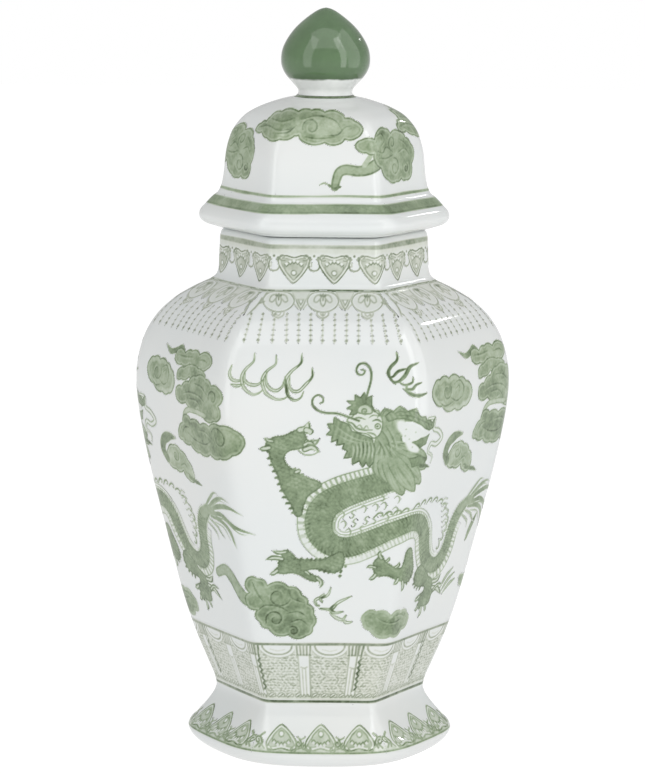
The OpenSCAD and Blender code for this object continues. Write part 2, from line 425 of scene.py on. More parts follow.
class Canvas:
    """Ink on an unrolled patch of a wall. Its ink runs from 0, bare glaze, to 1, darkest."""

    def __init__(self, surface, s_range, z_range, cell=0.5):
        self.surface, self.cell, self.side = surface, cell, None
        self.s = np.arange(s_range[0], s_range[1] + cell, cell)
        self.z = np.arange(z_range[0], z_range[1] + cell, cell)
        self.ink = np.zeros((len(self.z), len(self.s)))

    @classmethod
    def ring(cls, surface, side, z_range, cell=0.5):
        """A canvas once round the wall, whose six sides each count as side long."""
        count = int(SIDES * side / cell)
        canvas = cls(surface, (0, 1), z_range, cell)
        canvas.side = side
        canvas.s = (np.arange(count) / count - 0.5) * SIDES * side
        canvas.ink = np.zeros((len(canvas.z), count))
        return canvas

    def cut(self, bottom, top):
        """A copy of this canvas between two heights."""
        rows = (self.z >= bottom) & (self.z <= top)
        part = copy.copy(self)
        part.z, part.ink = self.z[rows], self.ink[rows]
        return part

    def true_s(self, s, z):
        """Distances along the wall for this canvas's own s."""
        return s if self.side is None else s * 2 * self.surface.half(z) / self.side

    def keep_facet(self):
        """Wipes what lies past the facet's own corners."""
        s, z = np.meshgrid(self.s, self.z)
        self.ink *= np.abs(s) < self.surface.half(z)

    def window(self, points, margin):
        """The cells round some points, as two slices."""
        lo, hi = np.min(points, axis=0) - margin, np.max(points, axis=0) + margin
        i0, i1 = np.searchsorted(self.z, [lo[1], hi[1]])
        j0, j1 = np.searchsorted(self.s, [lo[0], hi[0]])
        return slice(i0, i1), slice(j0, j1)

    def cells(self, window):
        """s and z of each cell in a window."""
        return np.meshgrid(self.s[window[1]], self.z[window[0]])

    def lay(self, window, cover, tone):
        """Brings the ink in a window towards tone, as far as cover says."""
        self.ink[window] += (tone - self.ink[window]) * cover

    def follow(self, path, reach):
        """Distance to a path, signed side (left is positive) and length along it, near it."""
        path = np.asarray(path, float)
        window = self.window(path, reach)
        s, z = self.cells(window)
        best = np.full(s.shape, 1e9)
        side, along = np.zeros(s.shape), np.zeros(s.shape)
        length = 0.0
        for a, b in zip(path[:-1], path[1:]):
            step = b - a
            span = math.hypot(*step)
            if span == 0:
                continue
            i, j = self.window([a, b], reach)
            part = (slice(i.start - window[0].start, i.stop - window[0].start),
                    slice(j.start - window[1].start, j.stop - window[1].start))
            ds, dz = s[part] - a[0], z[part] - a[1]
            t = np.clip((ds * step[0] + dz * step[1]) / span**2, 0, 1)
            d = np.hypot(ds - t * step[0], dz - t * step[1])
            near = d < best[part]
            best[part] = np.where(near, d, best[part])
            turn = (step[0] * dz - step[1] * ds) / span
            side[part] = np.where(near, np.sign(turn) * d, side[part])
            along[part] = np.where(near, length + t * span, along[part])
            length += span
        return window, best, side, along, length

    def line(self, path, width=1.0, tone=0.8, taper=(1, 1), soft=0.45):
        """A brush line. taper gives its width at the two ends as shares of width."""
        window, d, _, along, length = self.follow(path, width / 2 + soft + self.cell)
        share = along / max(length, 1e-6)
        bow = np.interp(share, [0, 0.35, 0.65, 1], [taper[0], 1, 1, taper[1]])
        self.lay(window, filled(width / 2 * bow - d, soft) * np.minimum(1, bow * 2), tone)

    def stroke(self, points, *args, **kwargs):
        """A brush line through given points."""
        self.line(curve(points), *args, **kwargs)

    def inside(self, outline, margin=1.5):
        """Signed distance into a closed outline, over the cells round it."""
        outline = np.asarray(outline, float)
        window = self.window(outline, margin)
        s, z = self.cells(window)
        best = np.full(s.shape, 1e9)
        within = np.zeros(s.shape, bool)
        for a, b in zip(outline, np.roll(outline, -1, axis=0)):
            step = b - a
            t = np.clip(((s - a[0]) * step[0] + (z - a[1]) * step[1]) / (step @ step + 1e-12), 0, 1)
            best = np.minimum(best, (s - a[0] - t * step[0]) ** 2 + (z - a[1] - t * step[1]) ** 2)
            if a[1] != b[1]:
                crosses = (a[1] > z) != (b[1] > z)
                within ^= crosses & (s < a[0] + (z - a[1]) * step[0] / step[1])
        return window, np.where(within, 1, -1) * np.sqrt(best)

    def wash(self, outline, tone, edge=None, edge_width=0.8, soft=0.7):
        """A filled shape, with a darker edge where edge is a tone."""
        window, d = self.inside(outline)
        self.lay(window, filled(d, soft), tone)
        if edge is not None:
            self.lay(window, outlined(d, edge_width / 2, 0.45), edge)
        return window, d

    def dot(self, centre, radius, tone):
        window = self.window([centre], radius + 1)
        s, z = self.cells(window)
        d = np.hypot(s - centre[0], z - centre[1])
        self.lay(window, filled(radius - d, 0.5), tone)

    def spike(self, base, tip, width=2.0, bend=0.15, tone=0.78):
        """A tapered, slightly hooked stroke."""
        base, tip = np.array(base, float), np.array(tip, float)
        way = tip - base
        middle = (base + tip) / 2 + bend * np.array([-way[1], way[0]])
        self.line(curve([base, middle, tip], 0.7), width, tone, taper=(1, 0.1))

    def claws(self, *strokes):
        """Pale claws with dark outlines, each from (base, tip, width, bend)."""
        for base, tip, width, bend in strokes:
            self.spike(base, tip, width + 0.5, bend, 0.82)
            tip = mix(np.array(base, float), np.array(tip, float), 0.9)
            self.spike(base, tip, width - 0.9, bend, 0.2)

    def ribbon(self, path, width, taper=(0.3, 0.3)):
        """A pale ribbon between two thin dark lines."""
        self.line(path, width, 0.7, taper)
        self.line(path, width - 1.1, 0.08, (taper[0] * 0.3, taper[1] * 0.3))


BARE = 0.012  # no skin is made where the ink is paler than this
SKIN_DEPTH = 0.3  # how far the back of a skin lies under the glaze


def uneven(canvas, patchy):
    """The ink of a canvas with broad pools and a fine speckle, as watery colour dries."""
    pools = 0.11 * mottled(canvas, 6.5, 1) + 0.11 * mottled(canvas, 2.1, 2)
    return np.clip(canvas.ink * (1 + patchy * (pools + 0.12 * mottled(canvas, 1.1, 3))), 0, 1)


def paint(name, canvas, body, turn=0, lift=0.08, patchy=1, border=False):
    """A closed skin of painted glaze over the inked cells of a canvas, riding on a body."""
    ink = uneven(canvas, patchy)
    spread = ink.copy()
    for axis in (0, 1):
        for way in (1, -1):
            spread = np.maximum(spread, np.roll(ink, way, axis))
    live = spread > BARE
    rows, cols = len(canvas.z), len(canvas.s)
    number = np.arange(rows * cols).reshape(rows, cols)
    if canvas.side:
        number, live = np.hstack([number, number[:, :1]]), np.hstack([live, live[:, :1]])
    cell = live[:-1, :-1] & live[1:, :-1] & live[1:, 1:] & live[:-1, 1:]
    quads = np.stack([number[:-1, :-1], number[:-1, 1:], number[1:, 1:], number[1:, :-1]], -1)[cell]
    used, quads = np.unique(quads, return_inverse=True)
    quads = quads.reshape(-1, 4)
    z, s = canvas.z[used // cols], canvas.s[used % cols]
    touching = np.bincount(quads.ravel(), minlength=len(used))
    inner = np.flatnonzero(touching == 4)
    at, normal = canvas.surface.place(canvas.true_s(s, z), z, turn)
    under = np.arange(len(used))
    under[inner] = len(used) + np.arange(len(inner))
    points = np.vstack([at + lift * normal, at[inner] - SKIN_DEPTH * normal[inner]])
    faces = np.vstack([quads, under[quads[:, ::-1]]])
    skin = add_object(name, points, faces.tolist())
    normals = np.vstack([normal, normal[inner]])
    skin.data.normals_split_custom_set_from_vertices(normals.tolist())
    values = np.concatenate([ink.ravel()[used], np.zeros(len(inner))])
    skin.data.attributes.new("ink", "FLOAT", "POINT").data.foreach_set("value", values)
    finish_piece(skin, border_porcelain if border else glazed_porcelain, body, "white_glaze")


def finish_piece(piece, material, body, slot, *replaced):
    """Gives a piece its material, the body that it rides on and the CAD nodes it replaces."""
    piece.data.materials.append(material)
    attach(piece, body)
    if replaced:
        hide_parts(*replaced)


# ---------------------------------------------------------------- materials


class Nodes:
    """Small helper for building the node tree of a material or the world."""

    def __init__(self, owner, shader="Principled BSDF", place="Object"):
        owner.use_nodes = True
        self.owner = owner
        self.tree = owner.node_tree
        self.shader = self.tree.nodes[shader]
        self.place = self.add("TexCoord").outputs[place]

    @classmethod
    def material(cls, name):
        return cls(bpy.data.materials.new(name))

    def add(self, kind, inputs=(), **settings):
        """A new node. inputs gives each of its sockets a value or something to link from."""
        node = self.tree.nodes.new("ShaderNode" + kind)
        for key, value in settings.items():
            setattr(node, key, value)
        for key, value in dict(inputs).items():
            if isinstance(value, bpy.types.NodeSocket):
                self.tree.links.new(value, node.inputs[key])
            else:
                node.inputs[key].default_value = value
        return node

    def noise(self, scale, detail=2.0, roughness=0.5):
        """Noise over the object, mostly between 0.3 and 0.7."""
        return self.add("TexNoise", {
            "Vector": self.place, "Scale": scale, "Detail": detail,
            "Roughness": roughness}).outputs["Fac"]

    def ranged(self, value, low, high):
        """A noise brought from 0.3 to 0.7 to between low and high."""
        return self.add("MapRange", {
            "Value": value, "From Min": 0.3, "From Max": 0.7,
            "To Min": low, "To Max": high}).outputs["Result"]

    def ramp(self, value, stops):
        node = self.add("ValToRGB", {"Fac": value})
        elements = node.color_ramp.elements
        while len(elements) < len(stops):
            elements.new(0.5)
        for element, (position, colour) in zip(elements, stops):
            element.position = position
            element.color = (*colour, 1)
        return node.outputs["Color"]

    def tinted(self, colour, tint):
        """One colour multiplied by another."""
        node = self.add("Mix", data_type="RGBA", blend_type="MULTIPLY")
        node.inputs["Factor"].default_value = 1.0
        self.tree.links.new(colour, node.inputs[6])
        self.tree.links.new(tint, node.inputs[7])
        return node.outputs[2]

    def math(self, operation, a, b):
        return self.add("Math", {0: a, 1: b}, operation=operation).outputs["Value"]

    def link(self, value, socket):
        self.tree.links.new(value, self.shader.inputs[socket])

    def bump(self, heights, strength, distance):
        node = self.add("Bump", {"Height": heights, "Strength": strength, "Distance": distance})
        self.link(node.outputs["Normal"], "Normal")


PORCELAIN = (0.812, 0.828, 0.812)
INK_RAMP = [
    (0.0, PORCELAIN), (0.1, (0.70, 0.735, 0.66)), (0.35, (0.42, 0.495, 0.35)),
    (0.6, (0.245, 0.32, 0.188)), (0.8, (0.135, 0.19, 0.10)), (1.0, (0.06, 0.09, 0.035)),
]
BORDER_RAMP = [
    (0.0, PORCELAIN), (0.1, (0.70, 0.72, 0.645)), (0.35, (0.45, 0.485, 0.385)),
    (0.6, (0.27, 0.315, 0.222)), (0.8, (0.145, 0.195, 0.115)), (1.0, (0.06, 0.085, 0.04)),
]


def make_porcelain(name, inks):
    """White glaze over the painted ink, with pooled and streaky ink and a faint orange peel."""
    n = Nodes.material(name)
    ink = n.add("Attribute", attribute_name="ink").outputs["Fac"]
    pooled = n.ranged(n.noise(110, 3, 0.6), 0.84, 1.16)
    streaks = n.ranged(n.noise(620, 2, 0.6), 0.92, 1.08)
    painted = n.ramp(n.math("MULTIPLY", n.math("MULTIPLY", ink, pooled), streaks), inks)
    body = n.ramp(n.noise(9, 3, 0.55), [(0.35, (0.965, 0.985, 1.0)), (0.65, (1, 1, 1))])
    n.link(n.tinted(painted, body), "Base Color")
    n.link(n.ranged(n.noise(35, 2), 0.045, 0.085), "Roughness")
    n.shader.inputs["IOR"].default_value = 1.52
    n.bump(n.noise(55, 2, 0.5), 0.08, 0.0004)
    return n.owner


def make_bare_porcelain():
    """Unglazed biscuit, with a fine grain."""
    n = Nodes.material("bare_porcelain")
    n.link(n.ramp(n.noise(160, 4, 0.6), [(0.3, (0.66, 0.645, 0.60)), (0.7, (0.74, 0.73, 0.69))]),
           "Base Color")
    n.link(n.ranged(n.noise(300, 3), 0.55, 0.7), "Roughness")
    n.bump(n.noise(1800, 3, 0.6), 0.25, 0.0001)
    return n.owner


def make_green_glaze():
    """The finial's sage green glaze, white at the knob's neck, with a darker pooled edge."""
    n = Nodes.material("green_glaze")
    height = n.add("SeparateXYZ", {"Vector": n.place}).outputs["Z"]
    wave = n.ranged(n.noise(90, 2), -0.0006, 0.0006)
    lifted = n.math("ADD", height, wave)
    share = n.add("MapRange", {
        "Value": lifted, "From Min": (dome_z - 2) * MM, "From Max": tip_z * MM}).outputs["Result"]
    cloudy = n.ranged(n.noise(60, 3, 0.6), 0.9, 1.1)
    green = n.ramp(share, [
        (0.0, PORCELAIN), (0.215, PORCELAIN), (0.235, (0.08, 0.14, 0.065)),
        (0.30, (0.105, 0.18, 0.088)), (0.6, (0.12, 0.20, 0.10)), (1.0, (0.13, 0.215, 0.112))])
    n.link(n.tinted(green, cloudy), "Base Color")
    n.link(n.ranged(n.noise(35, 2), 0.04, 0.08), "Roughness")
    n.shader.inputs["IOR"].default_value = 1.54
    n.bump(n.noise(55, 2, 0.5), 0.06, 0.0004)
    return n.owner


glazed_porcelain = make_porcelain("glazed_porcelain", INK_RAMP)
border_porcelain = make_porcelain("border_porcelain", BORDER_RAMP)
bare_porcelain = make_bare_porcelain()
green_glaze = make_green_glaze()

# ---------------------------------------------------------------- the white ware


def jar_profile():
    """Recess, resting ring, outside, lip, inside and floor, as one line."""
    inner = inset(foot_keys[4:] + lower_keys + upper_keys + neck_keys + lip_keys[:1], wall)
    inner = inner[inner[:, 1] > floor_z + 3][::-1]
    return np.vstack([
        smooth(under_keys, 3)[:-1], smooth([under_keys[-1]] + outer_keys, 1.5)[:-1],
        smooth([outer_keys[-1]] + inner.tolist() + floor_keys, 6)])


RESTING_RING_TOP = 0.7  # height up to which the ring that the jar stands on is unglazed


def build_ware():
    """The four shells of white and bare porcelain and green glaze."""
    jar = sweep("jar_glaze", jar_profile(), jar_crisp)
    finish_piece(jar, glazed_porcelain, "jar", "white_glaze", "jar_foot", "jar_belly", "jar_neck")
    jar.data.materials.append(bare_porcelain)
    for polygon in jar.data.polygons:
        if polygon.center.z < RESTING_RING_TOP * MM:
            polygon.material_index = 1

    dome = np.vstack([
        [(vent_r, dome_z - 0.6), (vent_r + 0.6, dome_z)],
        smooth([(vent_r + 3, dome_z)] + dome_keys, 1.3),
        smooth(dome_inner_keys + [(vent_r + 3, dome_z - wall)], 5), [(vent_r, dome_z - wall)]])
    lid = sweep("lid_glaze", dome[::-1], lid_crisp, "loop")
    finish_piece(lid, glazed_porcelain, "lid", "white_glaze", "lid_dome")
    collar = sweep("collar", smooth(collar_keys, 1.5)[::-1], lid_crisp, "loop")
    finish_piece(collar, bare_porcelain, "lid", "bare_porcelain", "lid_collar")
    knob = sweep("finial_glaze", smooth(knob_keys, 0.8)[:-1], None, "point")
    finish_piece(knob, green_glaze, "lid", "green_glaze", "lid_finial")


build_ware()

# ---------------------------------------------------------------- clouds and flames


def cloud(canvas, cusps, tone=0.6, rim=1.6, bulge=0.22, scrolls=(), strokes=(), edge=0.76,
          shift=(0, 0)):
    """A puffy cloud: a slightly paler rim, a watery heart, brushed edges and scroll lines.
    Each scroll is (centre, first radius, last radius, turns, start). shift moves it all."""
    cusps = shifted(cusps, *shift).tolist()
    window, depth = canvas.wash(puffs(cusps, bulge), tone - 0.2, edge=edge, edge_width=0.75)
    patchy = 0.78 + 0.7 * mottled(canvas, 7, 4)[window]
    canvas.lay(window, filled(depth - rim, 2.6) * np.clip(patchy, 0, 1), tone + 0.06)
    canvas.lay(window, 0.4 * outlined(depth - rim - 0.4, 0.3, 0.6), tone + 0.16)
    for centre, r0, r1, turns, start in scrolls:
        centre = shifted(centre, *shift)
        canvas.line(spiral(centre, r0 + 1, r1 + 1, turns, start), 1.2, tone - 0.1, (0.5, 0.5), 0.9)
        canvas.line(spiral(centre, r0, r1, turns, start), 0.9, tone + 0.24, (0.4, 0.6))
    for stroke in strokes:
        path = curve(shifted(stroke, *shift))
        canvas.line(shifted(path, 0.2, -0.9), 1.1, tone - 0.09, (0.3, 0.3), 0.9)
        canvas.line(path, 0.9, tone + 0.22, taper=(0.3, 0.3))


def cloud_tail(canvas):
    """The scroll cloud's tail, across the corner to its left."""
    tail = curve([(-38, 104), (-46, 106), (-52, 111), (-58, 117), (-66, 121), (-75, 118)])
    canvas.line(tail, 8, 0.7, taper=(1, 0.8), soft=0.8)
    canvas.line(tail, 6.4, 0.45, taper=(1, 0.75), soft=1.2)


def plumes(canvas):
    """Three small plumes and a strip of cloud, which one scroll cloud has in place of its tail."""
    for path in ([(-78, 103), (-75, 110), (-69, 114.5)], [(-75, 101), (-71, 107), (-65, 111)],
                 [(-72, 99.5), (-67.5, 104), (-61.5, 106.5)]):
        canvas.stroke(path, 3, 0.62, taper=(0.3, 0.4))
        canvas.stroke(path, 1.6, 0.3, taper=(0.3, 0.3))
    canvas.stroke([(-65, 132), (-64.5, 139), (-62, 147)], 4.4, 0.6, taper=(0.5, 0.4))
    canvas.stroke([(-54, 107), (-49, 104), (-43, 103)], 7, 0.5, taper=(0.4, 1), soft=1)


def scroll_cloud(canvas):
    """The large cloud at the lower left of each dragon."""
    cloud(canvas, [
        (-19, 83), (-8, 82.5), (-4.5, 88), (-4, 96.5), (-7.5, 103), (-11, 108.5), (-19, 114),
        (-32, 114.5), (-38, 119), (-44, 119), (-42.5, 110), (-45, 104), (-38, 99), (-36, 91),
        (-31, 87)], scrolls=[
        ((-27, 93), 1, 6, 1.3, 100), ((-16, 85.5), 0.6, 3, 1.2, 40),
        ((-25, 108), 2, 7.5, 0.9, 30)], strokes=[
        [(-19, 113), (-17, 107), (-10, 104)], [(-38, 98), (-33, 102), (-24, 101), (-18, 97)],
        [(-20, 97), (-13, 98), (-8, 95)], [(-18, 91), (-12, 93), (-7, 89)],
        [(-41, 117), (-38, 110), (-34, 104)]])


def low_cloud(canvas):
    """The small soft cloud to the right of the scroll cloud."""
    cloud(canvas, [
        (30, 86.5), (43, 82), (55, 84.5), (62, 89), (60, 94.5), (52, 97.5), (43, 95.5), (34, 98.5),
        (27, 97.5), (26, 91)], tone=0.58, edge=0.46, strokes=[
        [(34, 95), (39, 92), (46, 91), (54, 92.5)], [(46, 95), (52, 95.5), (57, 93)]])


def rosette_cloud(canvas, ds, dz, squeeze=1):
    """A round cloud with a scroll. squeeze pulls its left side in."""

    def here(points):
        return [(3 + squeeze * (s - 3) + ds, z + dz) for s, z in points]

    cloud(canvas, here([
        (-34, 225), (-18, 221.5), (-7, 221.5), (2, 225.5), (3, 231.5), (-4, 236.5), (-12, 239.5),
        (-25, 240.5), (-36, 241), (-43, 239), (-46, 232)]),
        tone=0.5, rim=3.2, bulge=0.16, scrolls=[(here([(-28, 233)])[0], 2, 5.6, 0.9, 60)],
        strokes=[here(stroke) for stroke in (
            [(-20, 236), (-12, 238), (-7, 233), (-9, 227)], [(-24, 229), (-16, 226), (-9, 228)],
            [(-38, 228), (-30, 224.5), (-20, 226)], [(-18, 233), (-13, 235), (-12, 231)])])


def stacked_clouds(canvas, ds):
    """Three clouds one above another with a ragged one between, joined by a trailing streamer."""
    tail = [(2, 252), (-2, 254.5), (-7, 252.5), (-14, 251), (-22, 254.5)]
    canvas.stroke(shifted(tail, ds), 3.4, 0.62, taper=(1, 0.12))
    cloud(canvas, [
        (-7, 247), (2, 245), (12, 246.5), (24, 245), (35, 246.5), (38.5, 250), (34, 254),
        (22, 253), (12, 254), (4, 252), (-6, 253)], tone=0.46, rim=1.3, bulge=0.14, strokes=[
        [(-4, 250), (6, 250), (16, 251)], [(22, 250), (29, 250.5), (33, 249)]], shift=(ds, 0))
    cloud(canvas, [
        (-1, 236), (4, 236.5), (14, 239), (30, 238.5), (34, 241.5), (24, 245), (6, 243.5),
        (-1, 241)], tone=0.52, rim=1.2, bulge=0.12, shift=(ds, 0))
    cloud(canvas, [
        (-1, 223.5), (10, 223), (26, 221), (32, 216.5), (44, 216), (51, 219), (49.5, 226),
        (53.5, 231), (50, 236), (42, 237), (35, 240), (23, 240.5), (14, 236), (5, 232),
        (-1.5, 230.5)], tone=0.56, rim=1.6, bulge=0.14, scrolls=[
        ((44, 230), 1.4, 5, 1.0, 200)], strokes=[
        [(6, 228), (16, 230), (28, 229), (36, 225)], [(14, 226), (24, 226), (30, 222)],
        [(20, 236), (30, 235), (37, 231)]], shift=(ds, 0))
    strip = shifted([(34, 218), (24, 219), (14, 219), (8, 216), (6, 210)], ds)
    canvas.stroke(strip, 3.6, 0.6)
    canvas.stroke(strip, 2.4, 0.3)
    cloud(canvas, [
        (-3.5, 200), (1, 198.5), (11, 197), (22, 193.5), (35, 194.5), (46, 193.5), (56, 196.5),
        (63, 201), (65, 207), (60, 212), (50, 214), (38, 212), (27, 211.5), (15, 213), (7, 215),
        (4, 209.5), (-1.5, 206)], tone=0.6, rim=1.8, bulge=0.13, scrolls=[
        ((47, 205.5), 2, 7.5, 1.0, 150)], strokes=[
        [(8, 205), (18, 201), (30, 200), (38, 203)], [(2, 203), (6, 207), (12, 208)],
        [(22, 208), (32, 208), (39, 205)]], shift=(ds, 0))


def curl_cloud(canvas, ds, dz):
    """A hooked cloud with a thin trailing tail."""
    cloud(canvas, [
        (-18, 187.5), (-9, 184), (1, 184.5), (6, 180), (13, 179), (14, 186), (9, 192), (1, 197),
        (-8, 199), (-15, 196)], tone=0.44, rim=1.4, bulge=0.15, scrolls=[
        ((-6, 193), 1, 4.4, 1.1, 20)], strokes=[
        [(-2, 187), (4, 189), (8, 186)], [(4, 184), (8, 183), (11, 181)]], shift=(ds, dz))
    hook = [(-3.5, 204), (-11, 204), (-19, 201), (-22, 195), (-18, 189)]
    canvas.stroke(shifted(hook, ds, dz), 6.5, 0.68, taper=(0.25, 0.8), soft=0.8)
    tail = [(8, 181.5), (14, 180), (19, 179), (24, 177)]
    canvas.stroke(shifted(tail, ds, dz), 2.4, 0.66, taper=(1, 0.15))


def hanging_flames(canvas):
    """The row of hanging flames at the upper left of each dragon."""
    for path in (
        [(-53.5, 251), (-55, 246), (-53, 242.5), (-49, 242), (-46.5, 244)],
        [(-40, 258), (-40.5, 253.5), (-45, 249), (-47.5, 244), (-46, 238), (-41, 234.2),
         (-36.5, 235.5), (-34.5, 238)],
        [(-27.2, 257), (-27.5, 252), (-32.5, 248), (-35.3, 243), (-34.5, 238), (-32.5, 234.5),
         (-27, 231.5), (-22, 232), (-20, 234)],
        [(-12, 258), (-12.8, 252.5), (-18, 248), (-21.5, 243), (-20.7, 237), (-19.5, 233),
         (-16, 231), (-12.5, 232.5), (-11, 236)],
        [(-6, 250), (-5.8, 245), (-9.5, 240.5), (-14, 236.3), (-18, 237), (-19.5, 241),
         (-19, 245)],
        [(-45.5, 248), (-46, 243), (-43, 240.2), (-38, 240), (-34.8, 243)],
        [(-32.8, 247.5), (-33.2, 242), (-31, 238), (-27, 236.5), (-23.5, 239), (-22.3, 243)],
        [(-54, 240), (-50.5, 239), (-47, 240)],
    ):
        canvas.ribbon(curve(path), 1.9, taper=(0.35, 0.35))
    for path in ([(-12, 257), (-12.3, 253), (-15, 250)], [(-6, 249.5), (-5.8, 245), (-8, 242)],
                 [(-22, 245), (-21.3, 241), (-20.5, 234), (-17, 231.4)]):
        canvas.stroke(path, 1.2, 0.84, taper=(0.3, 0.3))


def corner_flame(canvas):
    """The flame at the upper right, by the corner."""
    for path, width in (
        ([(44, 259.5), (44.2, 255), (40.5, 251), (39, 247.5), (41, 243.5), (43.5, 241)], 2.0),
        ([(50, 250), (45, 248.5), (42, 245.5), (40, 245)], 1.8),
        ([(57.5, 253), (52, 251), (49, 246), (45, 242.5), (42, 242.5)], 2.4),
        ([(54, 245), (53.5, 242), (49, 240.5), (46, 242)], 1.4),
        ([(60, 241.5), (56, 240.5), (53.5, 238), (50, 238.5), (50.5, 241)], 1.8),
        ([(48, 238.5), (53, 235), (58, 234), (64, 235)], 2.2),
    ):
        canvas.stroke(path, width, 0.66, taper=(0.3, 0.4))
        canvas.line(shifted(curve(path), -0.25 * width, 0), 0.7, 0.86, taper=(0.3, 0.3))


def twigs(canvas):
    """The little forked twigs below each dragon."""
    for path in (
        [(6.5, 114), (4.5, 109), (0.5, 107.5), (-3, 105.5), (-2, 102.5), (-0.5, 102)],
        [(2.5, 110), (0.3, 107), (1.2, 104.5)],
        [(19, 108.5), (13, 105.5), (10, 103.5), (7, 100), (2, 100), (0, 100.3)],
        [(10, 103.5), (8, 101), (6, 99.5), (9, 97.5), (13.5, 98.3)],
        [(6, 97.5), (9, 94.8), (13.5, 93), (15.5, 96)],
        [(13.5, 93), (16, 91.3), (19, 91.6)],
    ):
        canvas.ribbon(curve(path), 2.0, taper=(0.3, 0.5))
    for path in ([(8.5, 103), (6.5, 100), (9, 98)], [(3.5, 108.5), (0, 107)]):
        canvas.stroke(path, 1.6, 0.8, taper=(0.4, 0.3))


# ---------------------------------------------------------------- the dragon


def past_corner(points):
    """Points measured from the next facet's centre line, in this facet's own s."""
    points = np.array(points, float)
    return points + np.stack([2 * jar_wall.half(points[:, 1]), 0 * points[:, 1]], 1)


def scaly(canvas, window, cover, along, side, strength=0.13):
    """Rows of small overlapping scales on what is already washed."""
    row, column = 2.6, 2.8
    shift = 0.5 * (np.floor(along / row) % 2)
    u = np.mod(side / column + shift, 1) - 0.5
    v = np.mod(along / row, 1)
    arc = np.exp(-((np.hypot(u, v * 0.9) - 0.52) / 0.13) ** 2)
    worn = 0.7 + 0.6 * mottled(canvas, 5, 6)[window]
    speckle = 0.05 * mottled(canvas, 1.3, 7)[window]
    canvas.ink[window] += cover * (strength * worn * (arc - 0.3) + speckle)


def dragon_body(canvas):
    """The long body: scaled back, ribbed belly band and a fine double line along the back."""
    spine = curve([
        (40, 182), (25, 177), (12, 172), (3, 166), (-1, 158), (0, 148), (7, 141), (17, 140),
        (29, 144.5), (42, 150.5), (55, 154.5), (65, 153), (71, 146.5), (73.5, 136), (78, 126.5),
        (87, 121.5), (96, 124), (102.5, 132), (106.5, 142), (114, 152), (127, 159)], 1.5)
    widths = [13, 14, 15, 16, 17, 16, 14, 12.5, 11.5, 10.5, 10, 11, 12, 12, 11, 10, 9.5, 9, 9, 8, 4]
    band = 4.6
    window, d, side, along, length = canvas.follow(spine, 15)
    share = along / length
    half = np.interp(share, np.linspace(0, 1, len(widths)), widths) / 2
    out = d - half
    fade = ease((share - 0.01) * 60) * ease((0.93 - share) * 14)
    belly = filled(band - out, 0.6) * (side < 0) * fade
    canvas.lay(window, belly, 0.05)
    ribs = outlined(np.mod(along, 2.7) - 1.35, 0.5, 0.5)
    bold = np.interp(share, (0.2, 0.27, 0.36, 0.42, 0.7, 0.8), (0.9, 0.15, 0.1, 0.45, 0.5, 0.7))
    canvas.lay(window, belly * ribs * bold, 0.54)
    rim = outlined(out - band, 0.3, 0.45) * (side < 0) * fade
    canvas.lay(window, rim * (0.6 + 0.4 * bold), 0.62)
    for gap, tone in ((1.6, 0.5), (3.4, 0.46)):
        cover = outlined(out - gap, 0.28, 0.45) * (side > 0) * fade
        canvas.lay(window, cover * ease((0.8 - share) * 8), tone)
    back = filled(-out, 0.7)
    canvas.lay(window, back, 0.63)
    scaly(canvas, window, back, along, side)
    canvas.lay(window, 0.7 * outlined(out + 0.2, 0.35, 0.5), 0.8)
    hatching = np.sin(2 * math.pi * (along + 0.3 * side) / 1.7)
    canvas.ink[window] += back * 0.1 * hatching * ease((out + 4.5) / 3)
    canvas.lay(window, 0.6 * (hatching > 0) * outlined(out - 0.5, 0.7, 0.5), 0.58)


def loop_marks(canvas):
    """Small curls inside the bend of the body, and bristles along its back."""
    for s, z, lean in ((13, 160, 0), (19, 161, 1), (14, 154, 0), (20, 155.5, 1), (26, 164, 0),
                       (27, 157, 1), (33, 165, 0), (32, 157.5, 1), (38, 166, 0), (24, 151, 1),
                       (40, 160, 1), (17, 149, 0), (45, 163, 0), (37, 172, 1), (46, 170, 0)):
        if lean:
            mark = [(s - 1.8, z - 2.2), (s - 0.4, z - 2.6), (s + 0.6, z - 0.8), (s - 0.6, z + 1),
                    (s + 0.8, z + 2.6), (s + 2, z + 1.8)]
        else:
            mark = [(s - 2.2, z + 1.4), (s - 0.4, z + 2.6), (s + 1, z + 0.8), (s, z - 2)]
        canvas.line(curve(mark, 0.6), 0.8, 0.56, taper=(0.4, 0.4))
    crest = np.array([(-2.8, -1.3), (-1.3, 0.7), (0.4, 1.9), (2.1, 1.6), (2.4, 0.2), (1.3, 0.2)])
    for s, z in ((34.5, 160), (40, 160.8), (45.5, 161.6), (50.5, 162.6)):
        canvas.line(curve(crest + (s, z), 0.5), 1.0, 0.66, taper=(0.4, 0.5))
    for s, z, lean in ((-45.5, 164.2, 0), (-38.5, 165.3, 0), (-31, 165.6, 0.1), (-23.5, 165, 0.3),
                       (-16, 163, 0.6), (-9.5, 159.5, 0.9), (-4.5, 155, 1.2), (-2, 150, 1.5),
                       (-1.8, 145, 1.7), (-3.5, 139.8, 1.8), (-6, 134.8, 1.9)):
        across, along = math.cos(lean), math.sin(lean)
        turned = crest @ np.array([(across, -along), (along, across)])
        canvas.line(curve(past_corner(1.15 * turned + (s, z)), 0.5), 1.1, 0.62, taper=(0.4, 0.5))
    for i in range(7):
        s, z = -3 - 1.6 * i, 136 + 3.6 * i
        bristle = [(s + 6, z + 6), (s + 2.5, z + 7), (s - 0.5, z + 5.6), (s - 2, z + 6.5)]
        canvas.line(curve(past_corner(bristle), 0.8), 0.8, 0.34, taper=(0.8, 0.2))


